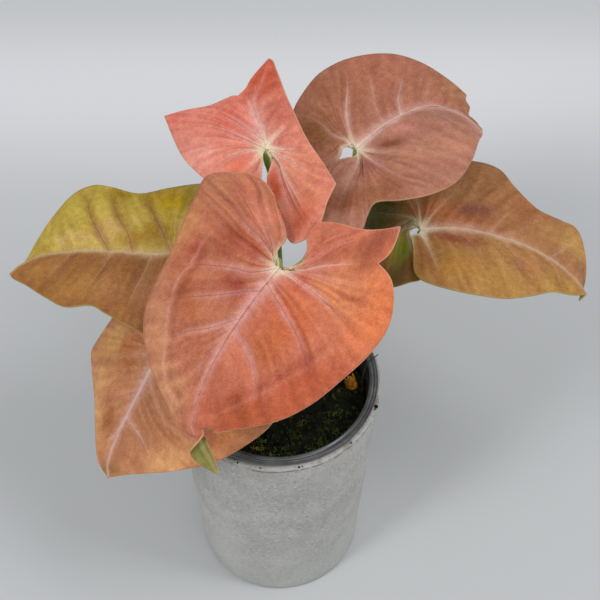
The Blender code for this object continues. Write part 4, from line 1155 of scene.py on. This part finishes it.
def cement():
    """Pale cast cement: fine light and dark grains, faint blotches, pits, and a dirty rim."""
    n = Nodes("Pale cement")
    where = n.place()
    height = n.add("ShaderNodeSeparateXYZ", Vector=where).outputs[2]
    blotch, fine = n.noise(where, 70.0, 4.0, 0.65), n.noise(where, 950.0, 3.0, 0.7)
    colour = n.coat((0.475, 0.468, 0.445), (0.590, 0.580, 0.550), blotch, 0.32, 0.68)
    colour = n.coat(colour, (0.52, 0.55, 0.50), n.noise(where, 28.0, 1.0), 0.52, 0.7, 0.0, 0.25)
    colour = n.coat(colour, (0.78, 0.77, 0.78), fine, 0.50, 0.68, 0.0, 0.55)
    colour = n.coat(colour, (0.33, 0.32, 0.33), n.noise(where, 760.0, 3.0, 0.7), 0.52, 0.68, 0.0, 0.6)
    grit = n.cells(where, 520.0, "F1")
    colour = n.coat(colour, (0.24, 0.24, 0.24), grit, 0.08, 0.18, 0.45, 0.0)
    pale_rim = n.span(height, (COVER_HEIGHT - 3.5) * MM, (COVER_HEIGHT - 1.2) * MM)
    colour = n.mix(n.times(pale_rim, 0.12), colour, (0.62, 0.60, 0.57))
    waver = n.times(n.math("SUBTRACT", n.noise(where, 60.0, 3.0), 0.5), 2.2 * MM)
    off_line = n.off(n.plus(height, waver), DIRT_LINE * MM)
    dirt = n.times(n.span(off_line, 0.0, 0.8 * MM, 1.0, 0.0), n.span(n.noise(where, 330.0, 3.0), 0.36, 0.56))
    colour = n.mix(n.times(dirt, 0.85), colour, (0.20, 0.14, 0.09))
    smudge = n.times(pale_rim, n.span(n.noise(where, 150.0, 4.0, 0.65), 0.50, 0.66))
    colour = n.mix(n.times(smudge, 0.7), colour, (0.27, 0.23, 0.19))
    # Painted light and shade: paler over the lower half of the pot, and a little darker in the last 6 mm at
    # its foot
    colour = n.coat(colour, (0.60, 0.61, 0.57), height, 0.0, 55 * MM, 0.45, 0.0)
    colour = n.coat(colour, (0.42, 0.42, 0.40), height, 0.0, 6 * MM, 0.25, 0.0)
    rough = n.plus(n.times(fine, 0.6), n.span(grit, 0.0, 0.3))
    rough = n.plus(rough, n.times(n.noise(where, 240.0, 3.0, 0.6), 0.8))
    return n.finish(colour, 0.88, n.bump(rough, 0.6, 0.28 * MM), Specular_IOR_Level=0.3)


def dark_plastic():
    """Thin dark plastic, with painted highlights along the tops of its beads."""
    n = Nodes("Dark plastic")
    where = n.place()
    smear = n.noise(where, 120.0, 4.0, 0.65)
    colour = n.coat((0.055, 0.058, 0.063), (0.11, 0.115, 0.12), smear, 0.4, 0.7)
    x, y, height = n.add("ShaderNodeSeparateXYZ", Vector=where).outputs
    radius = n.math("SQRT", n.plus(n.math("POWER", x, 2.0), n.math("POWER", y, 2.0)))
    on_top = n.span(height, (LIP_TOP - 1.0) * MM, (LIP_TOP - 0.6) * MM)
    # Painted highlights: pale lines along the tops of the beads, patchy with the smear
    for bead in BEAD_HIGHLIGHTS:
        bead_line = n.span(n.off(radius, bead * MM), 0.0, 0.3 * MM, 1.0, 0.0)
        highlight = n.times(n.times(bead_line, on_top), n.span(smear, 0.35, 0.6, 0.35, 0.8))
        colour = n.mix(highlight, colour, (0.36, 0.37, 0.39))
    normal = n.bump(n.noise(where, 260.0, 3.0), 0.25, 0.3 * MM)
    return n.finish(colour, n.span(smear, 0.3, 0.7, 0.25, 0.5), normal, Specular_IOR_Level=0.6,
                    Coat_Weight=0.2, Coat_Roughness=0.15)


def earth():
    """Nearly black soil with a green film in patches."""
    n = Nodes("Potting soil")
    where = n.place()
    colour = n.coat((0.003, 0.003, 0.002), (0.015, 0.016, 0.009), n.noise(where, 260.0, 5.0, 0.7), 0.35, 0.7)
    patch, grain = n.noise(where, 90.0, 4.0, 0.6), n.noise(where, 700.0)
    moss = n.times(n.span(patch, 0.50, 0.66), n.span(grain, 0.45, 0.6))
    colour = n.mix(n.times(moss, 0.7), colour, (0.035, 0.050, 0.008))
    normal = n.bump(n.noise(where, 900.0, 4.0, 0.7), 0.7, 0.5 * MM)
    return n.finish(colour, 0.93, normal, Specular_IOR_Level=0.2)


def crumb():
    """The tone runs from black soil through brown to moss green and straw."""
    n = Nodes("Soil crumbs and moss")
    ramp = n.add("ShaderNodeValToRGB", Fac=n.attribute("tone"))
    stops = [(0.0, (0.005, 0.004, 0.003)), (0.3, (0.030, 0.020, 0.010)), (0.45, (0.018, 0.024, 0.005)),
             (0.6, (0.034, 0.050, 0.012)), (0.85, (0.12, 0.14, 0.020)), (1.0, (0.30, 0.25, 0.05))]
    while len(ramp.color_ramp.elements) < len(stops):
        ramp.color_ramp.elements.new(0.5)
    for element, (place, tint) in zip(ramp.color_ramp.elements, stops):
        element.position = place
        element.color = (*tint, 1.0)
    where = n.place()
    colour = n.shade(ramp.outputs[0], n.span(n.noise(where, 1200.0, 3.0), 0.3, 0.7, 0.6, 1.3))
    normal = n.bump(n.noise(where, 1500.0, 3.0), 0.6, 0.3 * MM)
    return n.finish(colour, 0.9, normal, Specular_IOR_Level=0.2)


def stalk_green():
    """Fresh green with fine streaks, yellowish at its foot and at the blade."""
    n = Nodes("Leaf stalk")
    along = n.attribute("along")
    stretch = n.add("ShaderNodeMapping", Vector=n.place(), Scale=(1.0, 1.0, 0.06)).outputs[0]
    streak = n.noise(stretch, 2200.0, 3.0, 0.6)
    colour = n.coat((0.12, 0.21, 0.018), (0.22, 0.34, 0.045), streak, 0.3, 0.7)
    colour = n.coat(colour, (0.30, 0.30, 0.10), along, 0.35, 0.0, 0.0, 0.6)
    colour = n.coat(colour, (0.36, 0.46, 0.04), along, 0.90, 1.0, 0.0, 0.6)
    return n.finish(colour, 0.38, n.bump(streak, 0.25, 0.2 * MM), Subsurface_Weight=0.1,
                    Subsurface_Scale=1 * MM, Specular_IOR_Level=0.5)


def straw():
    """Dry straw, streaked from brown to orange."""
    n = Nodes("Dried husk")
    where = n.place()
    colour = n.coat((0.46, 0.13, 0.008), (0.92, 0.42, 0.045), n.noise(where, 500.0, 4.0, 0.65), 0.35, 0.65)
    normal = n.bump(n.noise(where, 900.0, 3.0), 0.5, 0.3 * MM)
    return n.finish(colour, 0.6, normal, Specular_IOR_Level=0.35)


def root_brown():
    """Dull brown root."""
    n = Nodes("Old root")
    where = n.place()
    colour = n.coat((0.030, 0.022, 0.018), (0.10, 0.075, 0.055), n.noise(where, 700.0, 3.0), 0.3, 0.7)
    normal = n.bump(n.noise(where, 1500.0), 0.5, 0.2 * MM)
    return n.finish(colour, 0.8, normal, Specular_IOR_Level=0.3)


def floor_card():
    """Pale card, painted lighter towards the back, with a soft pool of painted light behind the pot."""
    n = Nodes("Pale card")
    back = n.add("ShaderNodeSeparateXYZ", Vector=n.place()).outputs[1]
    near = n.span(back, 0.03, 0.16, 0.0, 0.25)
    pool = n.plus(n.span(back, 0.15, 0.218), n.span(back, 0.224, 0.275, 0.0, -0.85))
    colour = n.mix(n.plus(near, n.times(pool, 0.75)), (0.655, 0.668, 0.685), (0.90, 0.91, 0.945))
    return n.finish(colour, 0.75, Specular_IOR_Level=0.25)


# The object

def make_plant():
    tops = {"leaf_pink": leaf_top("Pink leaf", 0.46, (0.86, 0.52, 0.34), (0.96, 0.72, 0.66)),
            "leaf_rose": leaf_top("Rose leaf", 0.50, (0.66, 0.38, 0.22), (0.98, 0.76, 0.70)),
            "leaf_olive": leaf_top("Olive leaf", 0.50, (0.50, 0.50, 0.12), (0.94, 0.78, 0.56))}
    under = leaf_under("Leaf underside")
    green = stalk_green()
    for number, (name, own) in enumerate(LEAVES.items()):
        leaf = {**USUAL, **own}
        make_blade(name, leaf, [tops[leaf["slot"]], under], 11.3 + 17.0 * number)
        make_stalk(name, leaf, green)


def make_pots_and_soil():
    make_cover_pot(cement())
    make_nursery_pot(dark_plastic())
    make_soil(earth())
    make_crumbs(crumb())
    make_husk(straw())
    make_thread(root_brown())


# The studio

def place_thing(name, data, place):
    thing = bpy.data.objects.new(name, data)
    thing.location = place
    bpy.context.scene.collection.objects.link(thing)
    return thing


def make_floor():
    body = bmesh.new()
    bmesh.ops.create_grid(body, x_segments=1, y_segments=1, size=3.0)
    mesh = bpy.data.meshes.new("floor")
    body.to_mesh(mesh)
    body.free()
    mesh.materials.append(floor_card())
    floor = place_thing("floor", mesh, (0, 0, -0.0002))


def add_lamp(name, place, size, power):
    lamp = bpy.data.lights.new(name, "AREA")
    lamp.shape = "RECTANGLE"
    lamp.size, lamp.size_y = size
    lamp.energy = power
    thing = place_thing(name, lamp, place)
    thing.rotation_euler = (Vector(LAMP_AIM) - Vector(place)).to_track_quat("-Z", "Y").to_euler()


def light_room():
    for name, lamp in LAMPS.items():
        add_lamp(name, **lamp)
    world = bpy.data.worlds.new("Studio")
    world.use_nodes = True
    colour, strength = world.node_tree.nodes["Background"].inputs[:2]
    colour.default_value = (0.97, 0.985, 1.0, 1.0)
    strength.default_value = ROOM_LIGHT
    bpy.context.scene.world = world
    bpy.context.scene.view_settings.view_transform = "Standard"


def place_camera():
    lens = bpy.data.cameras.new("camera")
    lens.lens = LENS
    lens.sensor_width = 36.0
    lens.clip_start, lens.clip_end = 0.01, 50.0
    camera = place_thing("camera", lens, CAMERA_PLACE)
    camera.rotation_euler = (math.radians(CAMERA_TILT), 0.0, 0.0)
    bpy.context.scene.camera = camera


make_plant()
make_pots_and_soil()
make_floor()
light_room()
place_camera()
